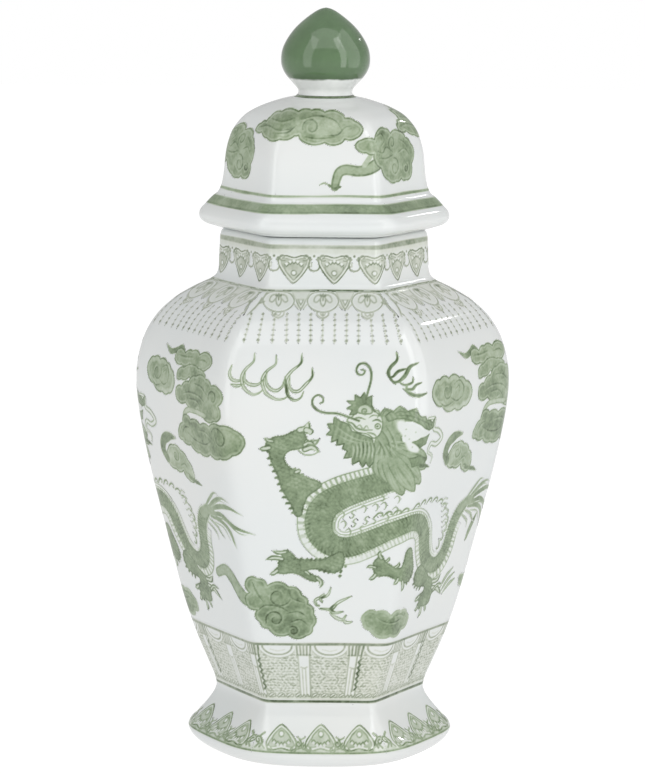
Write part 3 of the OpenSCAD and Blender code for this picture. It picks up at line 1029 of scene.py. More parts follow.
def limb(canvas, outline):
    """A scaled leg or paw."""
    thorny = ragged(curve(outline, 0.4, closed=True))
    window, depth = canvas.wash(thorny, 0.62, edge=0.82, edge_width=0.75)
    s, z = canvas.cells(window)
    scaly(canvas, window, ease(depth / 1.5), z + 0.4 * s, s - 0.4 * z, 0.12)


def barbs(canvas, path, size, gap, side=1, tone=0.8):
    """Short thorns that lean back along a path."""
    path = curve(path, gap)
    for a, b in zip(path[:-1], path[1:]):
        way = (b - a) / max(1e-6, np.linalg.norm(b - a))
        out = np.array([-way[1], way[0]]) * side
        canvas.spike(a - 0.4 * out, a + size * out - 0.5 * size * way, 1.5, 0.1 * side, tone)


def raised_arm(canvas):
    """The arm that reaches up at the left, with its claws open."""
    limb(canvas, [
        (0, 180), (-8, 183.5), (-15, 187), (-21, 192), (-22, 197), (-19, 200.5), (-12, 202),
        (-8.5, 204), (-9, 208), (-12, 213.5), (-16, 212.5), (-22, 209.5), (-29, 208), (-33, 204),
        (-31, 199.5), (-30, 195), (-27.5, 189), (-25, 183), (-23, 176), (-20, 171), (-17, 165),
        (-15, 160), (-12, 160), (-10.5, 166), (-8, 172), (-3, 176)])
    barbs(canvas, [(-31, 203), (-30, 195), (-27, 187), (-24, 179), (-21, 171), (-17, 164),
                   (-14, 159)], 2.2, 3.0, side=-1)
    barbs(canvas, [(-10, 184), (-14, 187), (-19, 191)], 1.6, 3.0, side=-1, tone=0.6)
    canvas.claws(
        ((-13, 213), (-7.5, 218.5), 3.2, -0.25), ((-9, 213), (-6.5, 210), 3.4, 0.3),
        ((-9, 206), (-1, 208), 2.2, -0.25), ((-10, 204), (-4, 204.5), 2.2, 0.2),
        ((-10, 201), (-1, 199.5), 2.6, 0.25), ((-31, 202), (-37, 201.3), 2.6, 0.05),
        ((-29, 206), (-34, 208), 1.8, 0.1), ((-15, 187), (-12, 187.8), 2.2, 0.1))
    canvas.stroke([(-14, 201), (-10, 198), (-5, 198), (-1.5, 200)], 0.8, 0.5)
    canvas.stroke([(-8, 206), (-5, 207), (-2, 206), (-5, 204), (-8, 204.5)], 0.8, 0.6)


def left_paw(canvas):
    """The paw stretched out below the chest."""
    limb(canvas, [
        (12, 137), (2, 132), (-8, 131.5), (-14, 132), (-17, 135), (-20, 137.5), (-23, 136),
        (-22.5, 132), (-25, 130), (-25, 127), (-27.5, 124), (-23, 122.7), (-17, 123.3), (-12, 122),
        (-8, 119.5), (-3, 117.8), (-1.5, 120), (-5, 122), (-9, 124.5), (-3, 126), (4, 124.3),
        (9, 123.8), (13, 127), (14, 132)])
    canvas.claws(
        ((-21, 136.5), (-29, 137.3), 2.0, 0.12), ((-23, 132), (-33, 131.5), 2.4, -0.1),
        ((-26, 124.5), (-30.5, 122), 2.2, 0.1), ((-2, 120), (0, 113.5), 2.0, 0.25),
        ((-9, 124), (-6, 121), 1.8, 0.1))
    barbs(canvas, [(-15, 132.2), (-8, 131.6), (0, 131.8), (6, 133.5)], 1.4, 2.6, side=-1)
    barbs(canvas, [(12, 124.2), (5, 124), (-3, 126)], 1.5, 2.6, side=-1)
    for spot in ((15, 127.7), (11.8, 121.5)):
        canvas.dot(spot, 0.9, 0.7)


def right_paw(canvas):
    """The paw under the middle of the body."""
    limb(canvas, [
        (32, 130), (34, 133), (37, 134.5), (39, 131), (44, 127.5), (49, 126.5), (51, 131),
        (53, 137), (57.5, 138), (60, 132), (62, 125), (61, 119), (56, 115.5), (51, 117), (46, 119),
        (40, 121.8), (34, 121.5), (32, 125)])
    canvas.claws(
        ((33, 127), (27.5, 127), 1.8, -0.15), ((33, 122.5), (29, 119.5), 2.0, 0.15),
        ((36.5, 133), (36, 138), 2.0, 0.2), ((51, 117), (50.5, 110.5), 2.4, 0.15),
        ((47, 119.5), (44, 116), 2.0, 0.1), ((45, 127), (47.5, 130.5), 1.6, -0.2),
        ((39.5, 131), (41, 134), 1.4, -0.2))
    barbs(canvas, [(56, 116), (60, 119.5), (61.5, 125)], 2.0, 2.4, side=-1)


def hind_leg(canvas):
    """Thigh and clawed foot, past the corner."""
    limb(canvas, past_corner([
        (-26, 123), (-21, 124), (-15, 120), (-9, 115), (-3, 112), (0, 107), (7, 105), (1, 102),
        (0, 97), (-4, 95), (-8, 95.5), (-12, 94.5), (-15, 97), (-14, 100), (-19, 102),
        (-15, 104), (-11, 106), (-12, 109), (-19, 110), (-25, 112.5), (-28, 118)]))
    for base, tip, width, bend in (
        ((0, 106), (14, 99.5), 2.8, 0.12), ((-15, 103), (-20, 101), 2.0, 0.1),
        ((-14, 96.5), (-17, 94.5), 1.8, 0.2), ((-9, 95), (-9.5, 88.5), 2.2, 0.15),
        ((-4, 95), (-2.5, 91), 1.8, 0.1), ((-1, 110), (8, 113.5), 2.6, -0.15),
        ((2, 104), (13, 106), 1.8, 0.15),
    ):
        canvas.claws((*past_corner([base, tip]), width, bend))
    barbs(canvas, past_corner([(-27, 119), (-26, 113), (-20, 109.5), (-13, 108)]), 1.8, 2.6, -1)


def tail_fan(canvas):
    """The fan of fins at the tail, past the corner."""
    for path, width, tone in (
        ([(18, 159), (27, 166), (33, 170), (38, 170)], 1.8, 0.5),
        ([(20, 158), (32, 165), (42, 168), (49, 166)], 2.2, 0.55),
        ([(24, 158), (36, 162), (48, 163), (57, 159)], 3.0, 0.6),
        ([(25, 156), (38, 157), (50, 151), (61.5, 147)], 3.0, 0.62),
        ([(24, 154), (36, 153), (44, 148), (47, 137.5)], 3.0, 0.55),
        ([(21, 152), (29, 149), (33, 145), (37, 142)], 2.0, 0.42),
        ([(17, 150), (23, 147), (27, 144), (28, 140)], 1.6, 0.38),
        ([(26, 160), (38, 166), (46, 165)], 1.0, 0.4),
        ([(30, 155), (42, 154), (52, 147.5), (58, 146.8)], 1.0, 0.5),
        ([(28, 151), (38, 149), (43, 142)], 1.0, 0.4),
    ):
        canvas.line(curve(past_corner(path)), width, tone, taper=(0.5, 0.12))
    canvas.line(curve(past_corner([(13, 154), (20, 157.5), (27, 157.5), (34, 155)])), 6, 0.5,
                taper=(1, 0.1), soft=1.2)


def lock(canvas, base, tip, width):
    """A pointed lock of hair with a dark edge and fine streaks along it."""
    base, tip = np.array(base, float), np.array(tip, float)
    way = (tip - base) / np.linalg.norm(tip - base)
    out = np.array([-way[1], way[0]])
    length = np.linalg.norm(tip - base)
    outline = [base - 0.3 * width * out, base + 0.35 * length * way - 0.5 * width * out,
               base + 0.75 * length * way - 0.42 * width * out, tip,
               base + 0.75 * length * way + 0.42 * width * out,
               base + 0.35 * length * way + 0.5 * width * out, base + 0.3 * width * out]
    canvas.wash(ragged(curve(outline, 0.5, closed=True), 0.4), 0.48, edge=0.68, edge_width=0.6)
    for share in (-0.3, -0.15, 0, 0.15, 0.3):
        streak = [base + 0.2 * length * way + 0.6 * share * width * out,
                  base + 0.6 * length * way + 1.1 * share * width * out,
                  tip - 1.6 * way + 0.5 * share * width * out]
        canvas.line(curve(streak, 0.7), 0.8, 0.38 if share else 0.62, taper=(0.3, 0.2))


def mane(canvas):
    """The mane behind the head: a mass of hair, its locks and the shaded roots."""
    outline = [
        (37, 181), (42, 183), (45, 176.5), (48, 173.5), (50, 178.5), (53, 178), (56.5, 175),
        (56.5, 180), (61, 179.3), (60.5, 185), (57, 188), (66, 189), (60, 191.5), (66, 193.5),
        (62, 197), (52, 198), (48, 203), (47, 209), (49, 215), (47, 220), (53, 219), (58, 222),
        (56, 226.3), (51, 224.8), (46, 228), (42.5, 224.8), (37, 226.5), (34, 222), (35, 216),
        (33, 210), (31, 203), (30, 195), (32, 187)]
    window, depth = canvas.wash(puffs(outline, 0.04), 0.5, edge=0.7)
    s, z = canvas.cells(window)
    flow = np.sin(np.arctan2(z - 214, s - 30) * 34 + 0.12 * np.hypot(s - 30, z - 214))
    canvas.ink[window] += 0.07 * flow * ease(depth / 1.5)
    for base, tip, width in (
        ((46, 203), (66.5, 194.5), 8), ((33.5, 198), (34.5, 184), 6.5), ((45, 199), (66, 189), 8.5),
        ((36, 195), (41, 180.5), 8), ((44, 197), (61.5, 180), 10), ((39, 195), (48.5, 173.3), 9.5),
        ((42, 196), (56, 175.3), 10), ((44, 212), (47.5, 226.5), 7), ((39, 212), (38, 225.5), 6),
    ):
        lock(canvas, base, tip, width)
    canvas.wash(curve([(33, 212), (37, 219), (42, 217), (45, 210), (47, 203), (45, 197), (40, 193),
                       (35, 195), (32, 204)], closed=True), 0.52, soft=3.4)
    nape = np.array([36, 207])
    for i in range(11):
        a = math.radians(-4 - 11 * i)
        way = np.array([math.cos(a), math.sin(a)])
        canvas.line([nape + 3 * way, nape + (15 - 0.5 * i) * way], 0.8, 0.36 + 0.34 * (i % 2),
                    taper=(0.3, 0.3))
    for path in ([(35, 214), (39, 208), (41, 200)], [(38, 216), (42, 209), (44, 202)],
                 [(33, 208), (36, 203), (38, 198)]):
        canvas.stroke(path, 0.9, 0.74, taper=(0.3, 0.3))
        canvas.line(curve(shifted(path, 1.1)), 0.9, 0.42, taper=(0.3, 0.3))


def plume(canvas):
    """The pale cheek, the plume that sweeps back from the brow, and the wisp of smoke behind it."""
    cheek = [(45.5, 219.5), (52, 218), (59, 215), (65, 211), (66, 206), (60, 204), (58, 199.5),
             (53, 200), (50.5, 203), (49, 207), (47, 211), (44.5, 215)]
    canvas.wash(curve(cheek, closed=True), 0.03, soft=2.2)
    for s, z in ((50, 214), (52, 208), (54, 203), (56, 212), (58.5, 207), (49.5, 210)):
        canvas.dot((s, z), 0.45, 0.34)
    smoke = curve([(66.5, 219.4), (73.5, 218.3), (72.5, 212.5), (78.8, 210.2), (83, 205.6),
                   (76.7, 202.2), (70.4, 203.3), (67.3, 198.7), (72.5, 195.3), (71.5, 191.3)])
    canvas.line(smoke, 3.4, 0.5, taper=(0.6, 0.3))
    canvas.line(smoke, 1.9, 0.05, taper=(0.5, 0.3))
    feather = [(37.4, 222), (40.8, 224.8), (43.3, 223.7), (46.5, 225.2), (49.3, 224.4), (53.3, 225.3),
             (57, 223.7), (59.6, 221.1), (63, 221), (65, 218.4), (67.8, 218.4), (70.4, 216.4),
             (73.5, 219), (72, 213.4), (67.4, 212.2), (63, 213.8), (59.6, 216.4), (55.6, 218.4),
             (52.1, 219.8), (48.7, 220.6), (44.2, 220.4), (39.7, 218.8)]
    window, depth = canvas.wash(feather, 0.6, edge=0.8, edge_width=0.7)
    s, z = canvas.cells(window)
    canvas.ink[window] += 0.08 * np.sin(2.1 * s + 1.4 * z) * ease(depth / 1.2)
    canvas.stroke([(43, 222.3), (52, 222.2), (61, 218.6), (70, 214.6)], 0.8, 0.76,
                  taper=(0.3, 0.5))
    for leaf in ([(54, 206), (60, 208), (67.5, 209.5), (64.5, 204), (59, 202)],
                 [(52, 196), (59, 197.3), (66, 195), (63, 191), (54, 190.5)]):
        canvas.wash(puffs(leaf, 0.06), 0.62, edge=0.74)
    canvas.spike((60, 190.5), (70.5, 188.5), 2.0, 0.05)


def beard(canvas):
    """The combed beard under the chin."""
    outline = [
        (30, 208), (31, 201), (31, 194), (28.5, 190.5), (26.5, 193.5), (24.5, 190.5), (22.5, 194.5),
        (18.5, 192.3), (18.5, 197), (13.5, 196), (15.5, 200.5), (12.5, 202), (13.5, 205), (9, 204),
        (9.5, 207.5), (6, 206), (6.5, 210), (3, 210.5), (5.5, 213), (3.5, 217), (7, 217),
        (7.5, 221), (11, 218.5), (15.5, 217), (18, 212.5), (24, 210.5)]
    window, depth = canvas.wash(puffs(outline[::-1], 0.03), 0.58, edge=0.84, edge_width=0.7)
    s, z = canvas.cells(window)
    canvas.ink[window] += 0.07 * np.sin(1.9 * s - 0.5 * z) * ease(depth / 1.5)
    for i in range(6):
        top, s = 208 - 1.2 * abs(i - 3), 18.5 + 2.3 * i
        canvas.stroke([(s, top), (s + 0.6, 201), (s - 0.3, 195.5)], 1.0, 0.34, taper=(0.3, 0.3))
        canvas.stroke([(s + 1.2, top), (s + 1.8, 201), (s + 1, 195.5)], 0.7, 0.78, taper=(0.3, 0.3))
    for path in ([(8, 216), (13, 212), (20, 208), (29, 206)], [(10, 210), (16, 207), (24, 205)]):
        canvas.stroke(path, 0.9, 0.4, taper=(0.3, 0.3))


def face(canvas):
    """Snout, crest, eye and whiskers of a dragon seen from the side, looking left."""
    head = [(15, 219.5), (18, 215), (21, 212.2), (27, 211), (31, 208.5), (34.5, 211), (36, 216),
            (35.5, 221), (32, 224.5), (28, 228), (23, 228), (20, 224), (18, 221.5)]
    canvas.wash(curve(head, closed=True), 0.09, edge=0.74, edge_width=0.7)
    crest = [
        (20, 223), (16.5, 222.5), (18, 225.5), (14.8, 226.5), (18, 228.5), (15, 231), (19.5, 231),
        (19.5, 234.5), (22.8, 232.8), (25, 236), (26.5, 232.8), (29.5, 234), (29.5, 228.5),
        (31.5, 224.5), (28, 226.5), (24, 227)]
    canvas.wash(crest, 0.64, edge=0.86, edge_width=0.7)
    canvas.wash(curve([(21.5, 224), (22, 227.5), (26, 229), (29.5, 226.5), (29, 223.5)],
                      closed=True), 0.26, edge=0.66)
    canvas.line(spiral((25.4, 225), 0.4, 2.2, 1.3, 200), 0.9, 0.66)
    # The eye, in three rings.
    canvas.dot((33.2, 215.8), 1.9, 0.66)
    canvas.dot((33.2, 215.8), 1.2, 0.1)
    canvas.dot((33, 215.8), 0.6, 0.85)
    for path, width, tone in (
        ([(14.5, 218.5), (18, 217.5), (21, 214.5), (25, 213.5), (30, 213.5)], 1.2, 0.72),
        ([(20, 214.5), (22.5, 216.5), (24.5, 214), (26.5, 216), (28, 213.6)], 0.8, 0.55),
        ([(30, 219), (33, 219.8), (36, 218)], 1.1, 0.7),
        ([(18, 220), (22, 221), (26, 219.8)], 0.9, 0.6),
        ([(28, 221), (30.5, 222.5), (34, 222)], 0.8, 0.55),
        ([(27, 212), (31, 211), (33, 208.6)], 1.0, 0.66),
        ([(33, 224), (35, 222), (37.5, 222.5)], 1.0, 0.6),
        ([(31, 226), (34, 224.5), (33, 221)], 0.9, 0.6),
    ):
        canvas.line(curve(path, 0.7), width, tone, taper=(0.4, 0.4))
    # The two whiskers.
    for path in (
        [(22, 219), (15, 221.5), (9, 223.3), (2, 223.7), (-3, 225.5), (-5.6, 229), (-5, 232.5),
         (-2, 234.3), (0.6, 232.5), (0.6, 230), (-1, 229.5)],
        [(26, 232), (27, 236), (28.8, 243), (28.8, 248.5), (26, 252.5), (22, 252.4), (20.2, 249.3),
         (21.2, 246.8), (24, 246.4), (25.2, 248.5), (23.5, 249.3)],
    ):
        canvas.line(curve(path, 0.7), 1.25, 0.78, taper=(1, 0.7))


def paint_belly():
    """Dragon, clouds and flames: one pattern over two facets, three times round the jar.
    The clouds of the three copies are shifted and shaped a little differently."""
    dragon = Canvas(jar_wall, (-42, 172), (84, 257), 0.5)
    for draw in (dragon_body, loop_marks, hind_leg, tail_fan, raised_arm, left_paw, right_paw,
                 mane, plume, beard, face):
        draw(dragon)
    fire = Canvas(jar_wall, (-60, 68), (88, 262), 0.5)
    for draw in (hanging_flames, corner_flame, twigs):
        draw(fire)
    for k, (column_shift, rosette, curl_shift) in enumerate((
            (14, (0, 0, 1), (0, 0)), (7, (0, 1, 0.9), (0, -2)), (3, (-5, 4, 0.72), (-3, -6)))):
        turn = 120 * k
        paint(f"dragon_{k + 1}", dragon, "jar", turn, lift=0.1, patchy=0.6)
        low = Canvas(jar_wall, (-82, 72), (76, 150), 0.55)
        (plumes if k == 1 else cloud_tail)(low)
        scroll_cloud(low)
        low_cloud(low)
        paint(f"low_clouds_{k + 1}", low, "jar", turn, lift=0.07)
        paint(f"flames_{k + 1}", fire, "jar", turn, lift=0.06)
        high = Canvas(jar_wall, (-55, 84), (172, 262), 0.55)
        rosette_cloud(high, *rosette)
        stacked_clouds(high, column_shift)
        curl_cloud(high, *curl_shift)
        paint(f"high_clouds_{k + 1}", high, "jar", turn + 60, lift=0.07)


paint_belly()

# ---------------------------------------------------------------- borders


def heights_of(canvas):
    return np.repeat(canvas.z[:, None], len(canvas.s), 1)


def band(canvas, z, width, tone, soft=0.5, sway=0.0, swing=0.0):
    """A painted line once round, a little uneven. swing makes every other facet stronger."""
    s, heights = np.meshgrid(canvas.s, canvas.z)
    turn = s * 2 * math.pi / (SIDES * canvas.side)
    wave = sway * (np.sin(3 * turn + 1) + 0.6 * np.sin(7 * turn))
    strength = tone * (1 + 0.12 * np.sin(2 * turn + 0.6) + 0.08 * np.sin(11 * turn))
    fuller = 1 - swing * np.cos(3 * turn)
    cover = outlined(heights - z - wave, fuller * width / 2, soft)
    canvas.ink += (strength * fuller - canvas.ink) * cover


def mirrored(canvas, path, s, z, *args, **kwargs):
    """The same line on both sides of s, from points measured from (s, z)."""
    for way in (1, -1):
        points = [(s + way * a, z + b) for a, b in path]
        canvas.line(curve(points, 0.6), *args, **kwargs)


def lappet(canvas, s, z, up):
    """A heart-shaped lappet with a double outline, a comb and a white bead. up is 1 or -1."""
    outline = [(s + a, z + up * b) for a, b in (
        (0, 0), (3.4, -2.6), (7.2, -7.6), (9.4, -12), (8.8, -15.6), (5, -16.8), (0, -15.6),
        (-5, -16.8), (-8.8, -15.6), (-9.4, -12), (-7.2, -7.6), (-3.4, -2.6))]
    window, depth = canvas.inside(curve(outline, 0.6, closed=True))
    patchy = 1 + 0.4 * mottled(canvas, 4, 8)[window]
    canvas.lay(window, filled(depth, 0.5), 0.07)
    canvas.lay(window, outlined(depth - 0.2, 0.34, 0.4), 0.7 * patchy)
    canvas.lay(window, filled(depth - 1.8, 0.5), 0.25 * patchy)
    canvas.lay(window, outlined(depth - 1.8, 0.28, 0.4), 0.42)
    for a in (-4.4, -2.2, 0, 2.2, 4.4):
        low = 12.3 - 0.09 * a * a
        canvas.dot((s + a, z - up * (low + 0.9)), 1.0, 0.03)
        canvas.line([(s + a - 1.1, z - up * (low + 0.6)), (s + a, z - up * (low - 0.6)),
                     (s + a + 1.1, z - up * (low + 0.6))], 0.7, 0.6)
    canvas.dot((s, z - up * 6.2), 1.9, 0.5)
    canvas.dot((s, z - up * 6.2), 1.15, 0.02)
    for way in (1, -1):
        curl = spiral((s + way * 6.8, z - up * 15.6), 0.4, 2.3, way * up * 1.1, 90 * up)
        canvas.line(curl, 0.8, 0.5)
    mirrored(canvas, [(1.5, up * -3.4), (4.6, up * -7), (5.6, up * -10)], s, z, 0.8, 0.52)


def neck_border():
    """Hanging lappets and pendants between two green lines, sixteen times round."""
    side, count = 64, 16
    step = SIDES * side / count
    neck = Canvas.ring(jar_wall, side, (289, 320), 0.42)
    for k in range(count):
        s = -SIDES * side / 2 + (k + 0.27) * step
        gap = s + step / 2
        lappet(neck, s, 295, -1)
        mirrored(neck, [(0, -6.6), (2.2, -5.9), (3.4, -3.6), (2.8, -1), (1.6, 0.4)], gap, 309,
                 0.85, 0.52)
        for a, b, size in ((-2.6, 1.2, 0.9), (2.6, 1.2, 0.9), (0, 2.4, 0.7), (-3.1, -4, 0.8)):
            neck.dot((gap + a, 309 + b), size, 0.62)
        neck.line([(gap - 1.6, 307.5), (gap - 1.6, 305)], 0.6, 0.36)
    neck.ink += 0.11 * ease((heights_of(neck) - 309) / 6) * (heights_of(neck) < 318)
    band(neck, 316.7, 2.4, 0.42, soft=0.9, swing=0.32)
    band(neck, 290.9, 1.0, 0.7, sway=0.12, swing=-0.15)
    paint("neck_border", neck, "jar", border=True)


BEADS, BEAD_PITCH = 6, 2.75  # in each string on the shoulder


def arched_panel(canvas, s):
    """An arch with a leafy rosette in it and a tassel under it."""
    arch = [(s + a, z) for a, z in (
        (-9.3, 286), (-7.2, 289.2), (-3, 290.4), (3, 290.4), (7.2, 289.2), (9.3, 286),
        (7.6, 283), (3.8, 281), (0, 280.4), (-3.8, 281), (-7.6, 283))]
    window, depth = canvas.inside(curve(arch, 0.6, closed=True))
    canvas.lay(window, outlined(depth, 0.3, 0.4), 0.5)
    canvas.lay(window, outlined(depth - 1.5, 0.25, 0.4), 0.28)
    canvas.lay(window, ease(depth - 0.5), 0.05)
    mirrored(canvas, [(0, 289.4), (1.5, 287), (1.2, 284.6), (0, 283.4)], s, 0, 0.7, 0.44)
    mirrored(canvas, [(1.4, 289.2), (4.2, 288.4), (5.4, 286), (3.6, 285.4), (1.6, 287.2)],
             s, 0, 0.7, 0.36)
    canvas.line([(s - 1.6, 288.6), (s + 1.6, 288.6)], 0.9, 0.66)
    canvas.line([(s, 288.6), (s, 286.4)], 0.8, 0.55)
    mirrored(canvas, [(3.6, 281), (3.2, 279), (1.6, 277.8), (0, 277.3)], s, 0, 0.8, 0.34)
    mirrored(canvas, [(1.8, 280.8), (1, 279), (0, 278.6)], s, 0, 0.7, 0.3)


def wedge_panel(canvas, s):
    """The filling between two arches."""
    wedge = [(s - 5.4, 290.4), (s - 3.2, 286.6), (s + 3.2, 286.6), (s + 5.4, 290.4)]
    canvas.wash(wedge, 0.08, edge=0.3, edge_width=0.5)
    mirrored(canvas, [(0, 281.8), (1.6, 284), (2.6, 286)], s, 0, 0.85, 0.42)
    mirrored(canvas, [(0, 284), (1, 285.4), (1.4, 286.4)], s, 0, 0.7, 0.46)
    mirrored(canvas, [(1.6, 282), (3.4, 284), (4.6, 284.6)], s, 0, 0.6, 0.3)


def corner_brackets(canvas):
    """The double bracket at each corner of the shoulder."""
    for way in (1, -1):
        for a in (0, 3.2):
            path = [(way * (33.4 + a), 290.2 - a), (way * (36.5 + a), 286.2 - a),
                    (way * (41.5 + 1.2 * a), 281.5 - a)]
            canvas.stroke(path, 0.85, 0.4, taper=(1, 0.4))
        canvas.line([(way * 35, 285.5), (way * 38, 284.6)], 0.8, 0.5)


def bead_strings(canvas, k):
    """Strings of beads that fan out towards the corners. Their strength differs from facet to
    facet, so it depends on k."""
    for column in range(-6, 7):
        fan = max(0, abs(column) - 3) * 0.26 * np.sign(column)
        for i in range(BEADS):
            s, z = 7.1 * column + fan * i, 279.2 - BEAD_PITCH * i
            last = i == BEADS - 1
            if abs(s) < jar_wall.half(z) - 2:
                strength = 0.36 + 0.14 * ((column * 5 + k * 3) % 4) / 3 + 0.1 * last
                canvas.dot((s, z), 0.68 + 0.15 * last, strength)
                canvas.dot((s, z - 1.3), 0.4, 0.2)


def shoulder_border():
    """Arched panels with rosettes and strings of beads hanging down the shoulder."""
    for k in range(SIDES):
        top = Canvas(jar_wall, (-50, 50), (263, 291), 0.45)
        for s in (-26.5, 0, 26.5):
            arched_panel(top, s)
        for s in (-13.2, 13.2):
            wedge_panel(top, s)
        corner_brackets(top)
        bead_strings(top, k)
        top.keep_facet()
        paint(f"shoulder_border_{k + 1}", top, "jar", 60 * k, border=True)


def festoon(middle, reach, drop):
    """A hanging arc under the lower band's top line."""
    t = np.linspace(0, math.pi, 25)
    return np.stack([middle - reach * np.cos(t), 76.6 - drop * np.sin(t) ** 0.8], 1)


def stippled_ground(canvas):
    """Rows of small leaning dashes and white specks over a pale ground."""
    canvas.ink[(canvas.z > 39) & (canvas.z < 75.8)] = 0.13
    rng = np.random.default_rng(5)
    end = SIDES * canvas.side / 2 - 1
    for row, z in enumerate(np.arange(41, 75, 1.9)):
        for s in np.arange(-end, end, 2.5) + 1.2 * (row % 2):
            a = s + rng.uniform(-0.5, 0.5)
            b = z + rng.uniform(-0.4, 0.4)
            reach = rng.uniform(0.2, 0.9)
            lean = rng.uniform(-0.5, 0.5)
            tone = rng.uniform(0.24, 0.5)
            canvas.line([(a - reach, b - lean), (a + reach, b + lean)], 1.0, tone)
            canvas.dot((a + 1.2, b + 0.8), 0.55, 0.04)


def swag(canvas, middle):
    """Three hanging arcs between two pillars, and the row of leaves below them."""
    canvas.line(festoon(middle, 10.3, 9), 0.8, 0.34)
    canvas.line(festoon(middle, 9.4, 8.1), 1.5, 0.03)
    canvas.wash(festoon(middle, 8.3, 7), 0.02, soft=0.5)
    canvas.line(festoon(middle, 8.3, 7), 0.9, 0.5)
    canvas.line([(middle - 4, 73.2), (middle, 72), (middle + 4, 73)], 0.7, 0.14)
    for a in (-10.5, -4.5, 1.5, 7.5):
        s = middle + a
        leaf = [(s, 41.2), (s + 1.6, 43.2), (s + 3.6, 43.4), (s + 5, 41.6), (s + 3, 41)]
        canvas.wash(curve(leaf, 0.5, closed=True), 0.03, edge=0.5, edge_width=0.7)
        canvas.line([(s + 0.8, 40.8), (s + 3.4, 42.4)], 0.8, 0.6)


def pillar(canvas, s, bold):
    """A fluted pillar with a capital. A bold one has a zigzag up its right side."""
    canvas.wash([(s - 4.6, 69), (s + 4.6, 69), (s + 5.4, 76.4), (s - 5.4, 76.4)], 0.06)
    for flute in range(-2, 3):
        canvas.line([(s + 1.75 * flute, 69.6), (s + 1.95 * flute, 76)], 0.9, 0.56)
        canvas.dot((s + 1.75 * flute, 69.4), 0.75, 0.62)
    canvas.wash([(s - 3.4, 41.5), (s + 3.4, 41.5), (s + 3.4, 69), (s - 3.4, 69)], 0.02)
    for a, top, tone in ((-3.3, 69, 0.36), (-1.3, 60, 0.24), (0.7, 60, 0.26), (3.3, 69, 0.42)):
        canvas.line([(s + a, 42), (s + a, top)], 0.7, tone)
    canvas.line([(s - 2, 61.2), (s, 60.4), (s + 1.6, 61.4)], 0.9, 0.3)
    if bold:
        zigzag = [(s + 2.4 + 1.4 * (i % 2), 46 + 1.9 * i) for i in range(12)]
        canvas.line(zigzag, 1.1, 0.8)
        canvas.line([(s + 1.3, 45), (s + 1.3, 76)], 0.8, 0.6)
        canvas.line([(s + 3.4, 68), (s + 4.2, 76)], 0.9, 0.7)
    mirrored(canvas, [(0, 41), (1.2, 42.6), (2.4, 41), (3.4, 42.6)], s, 0, 0.8, 0.5)


def lower_band():
    """Fluted pillars, swags and a stippled ground between two green lines, in two skins."""
    side, count = 73, 15
    step = SIDES * side / count
    low = Canvas.ring(jar_wall, side, (36, 78), 0.5)
    stippled_ground(low)
    for k in range(count + 1):
        swag(low, -SIDES * side / 2 + (k - 0.81) * step + step / 2)
    for k in range(count):
        pillar(low, -SIDES * side / 2 + (k + 0.19) * step, k % 2 == 0)
    band(low, 76.6, 1.6, 0.6, sway=0.15)
    band(low, 37.9, 1.7, 0.82, sway=0.12)
    low.ink = uneven(low, 1)
    for k, (bottom, top) in enumerate(((36, 57), (57, 78))):
        paint(f"lower_band_{k + 1}", low.cut(bottom, top), "jar", patchy=0, border=True)


def foot_border():
    """Upright lappets with curls between them, above a green line."""
    for k in range(SIDES):
        base = Canvas(jar_wall, (-44, 44), (9.4, 28), 0.42)
        z = heights_of(base)
        shade = 0.2 * ease((z - 10.4) / 0.5) * ease((15.5 - z) / 4)
        base.ink += shade * (1 + 0.5 * mottled(base, 3, 9))
        base.lay((slice(None), slice(None)), outlined(z - 10.5, 0.5, 0.6), 0.62)
        for centre in (-22.8, 1.2, 24.6):
            lappet(base, centre, 24.8, 0.78)
        for gap in (-10.8, 12.9):
            base.stroke([(gap - 2.4, 18.4), (gap, 17.2), (gap + 2.4, 18.2)], 0.8, 0.5)
            base.line(spiral((gap - 1.6, 15.2), 0.4, 1.9, 1.2, 0), 0.85, 0.62)
            base.line(spiral((gap + 1.8, 13.8), 0.4, 1.7, -1.2, 180), 0.85, 0.56)
            base.stroke([(gap - 3.6, 12.2), (gap, 13), (gap + 3.6, 12)], 0.9, 0.5)
            base.stroke([(gap - 2.6, 16.4), (gap - 3.6, 14.4), (gap - 2.2, 12.6)], 0.7, 0.4)
        for way in (1, -1):
            base.stroke([(way * 33, 20.3), (way * 35.6, 18.4), (way * 34.4, 15.6),
                             (way * 36.6, 13)], 1.1, 0.6)
            base.line(spiral((way * 37.2, 16.4), 0.5, 2.2, 1.2 * way, 60), 0.9, 0.62)
            base.stroke([(way * 33.4, 12.5), (way * 36, 14.8), (way * 39.5, 12.6)], 0.9, 0.5)
        base.keep_facet()
        paint(f"foot_border_{k + 1}", base, "jar", 60 * k)


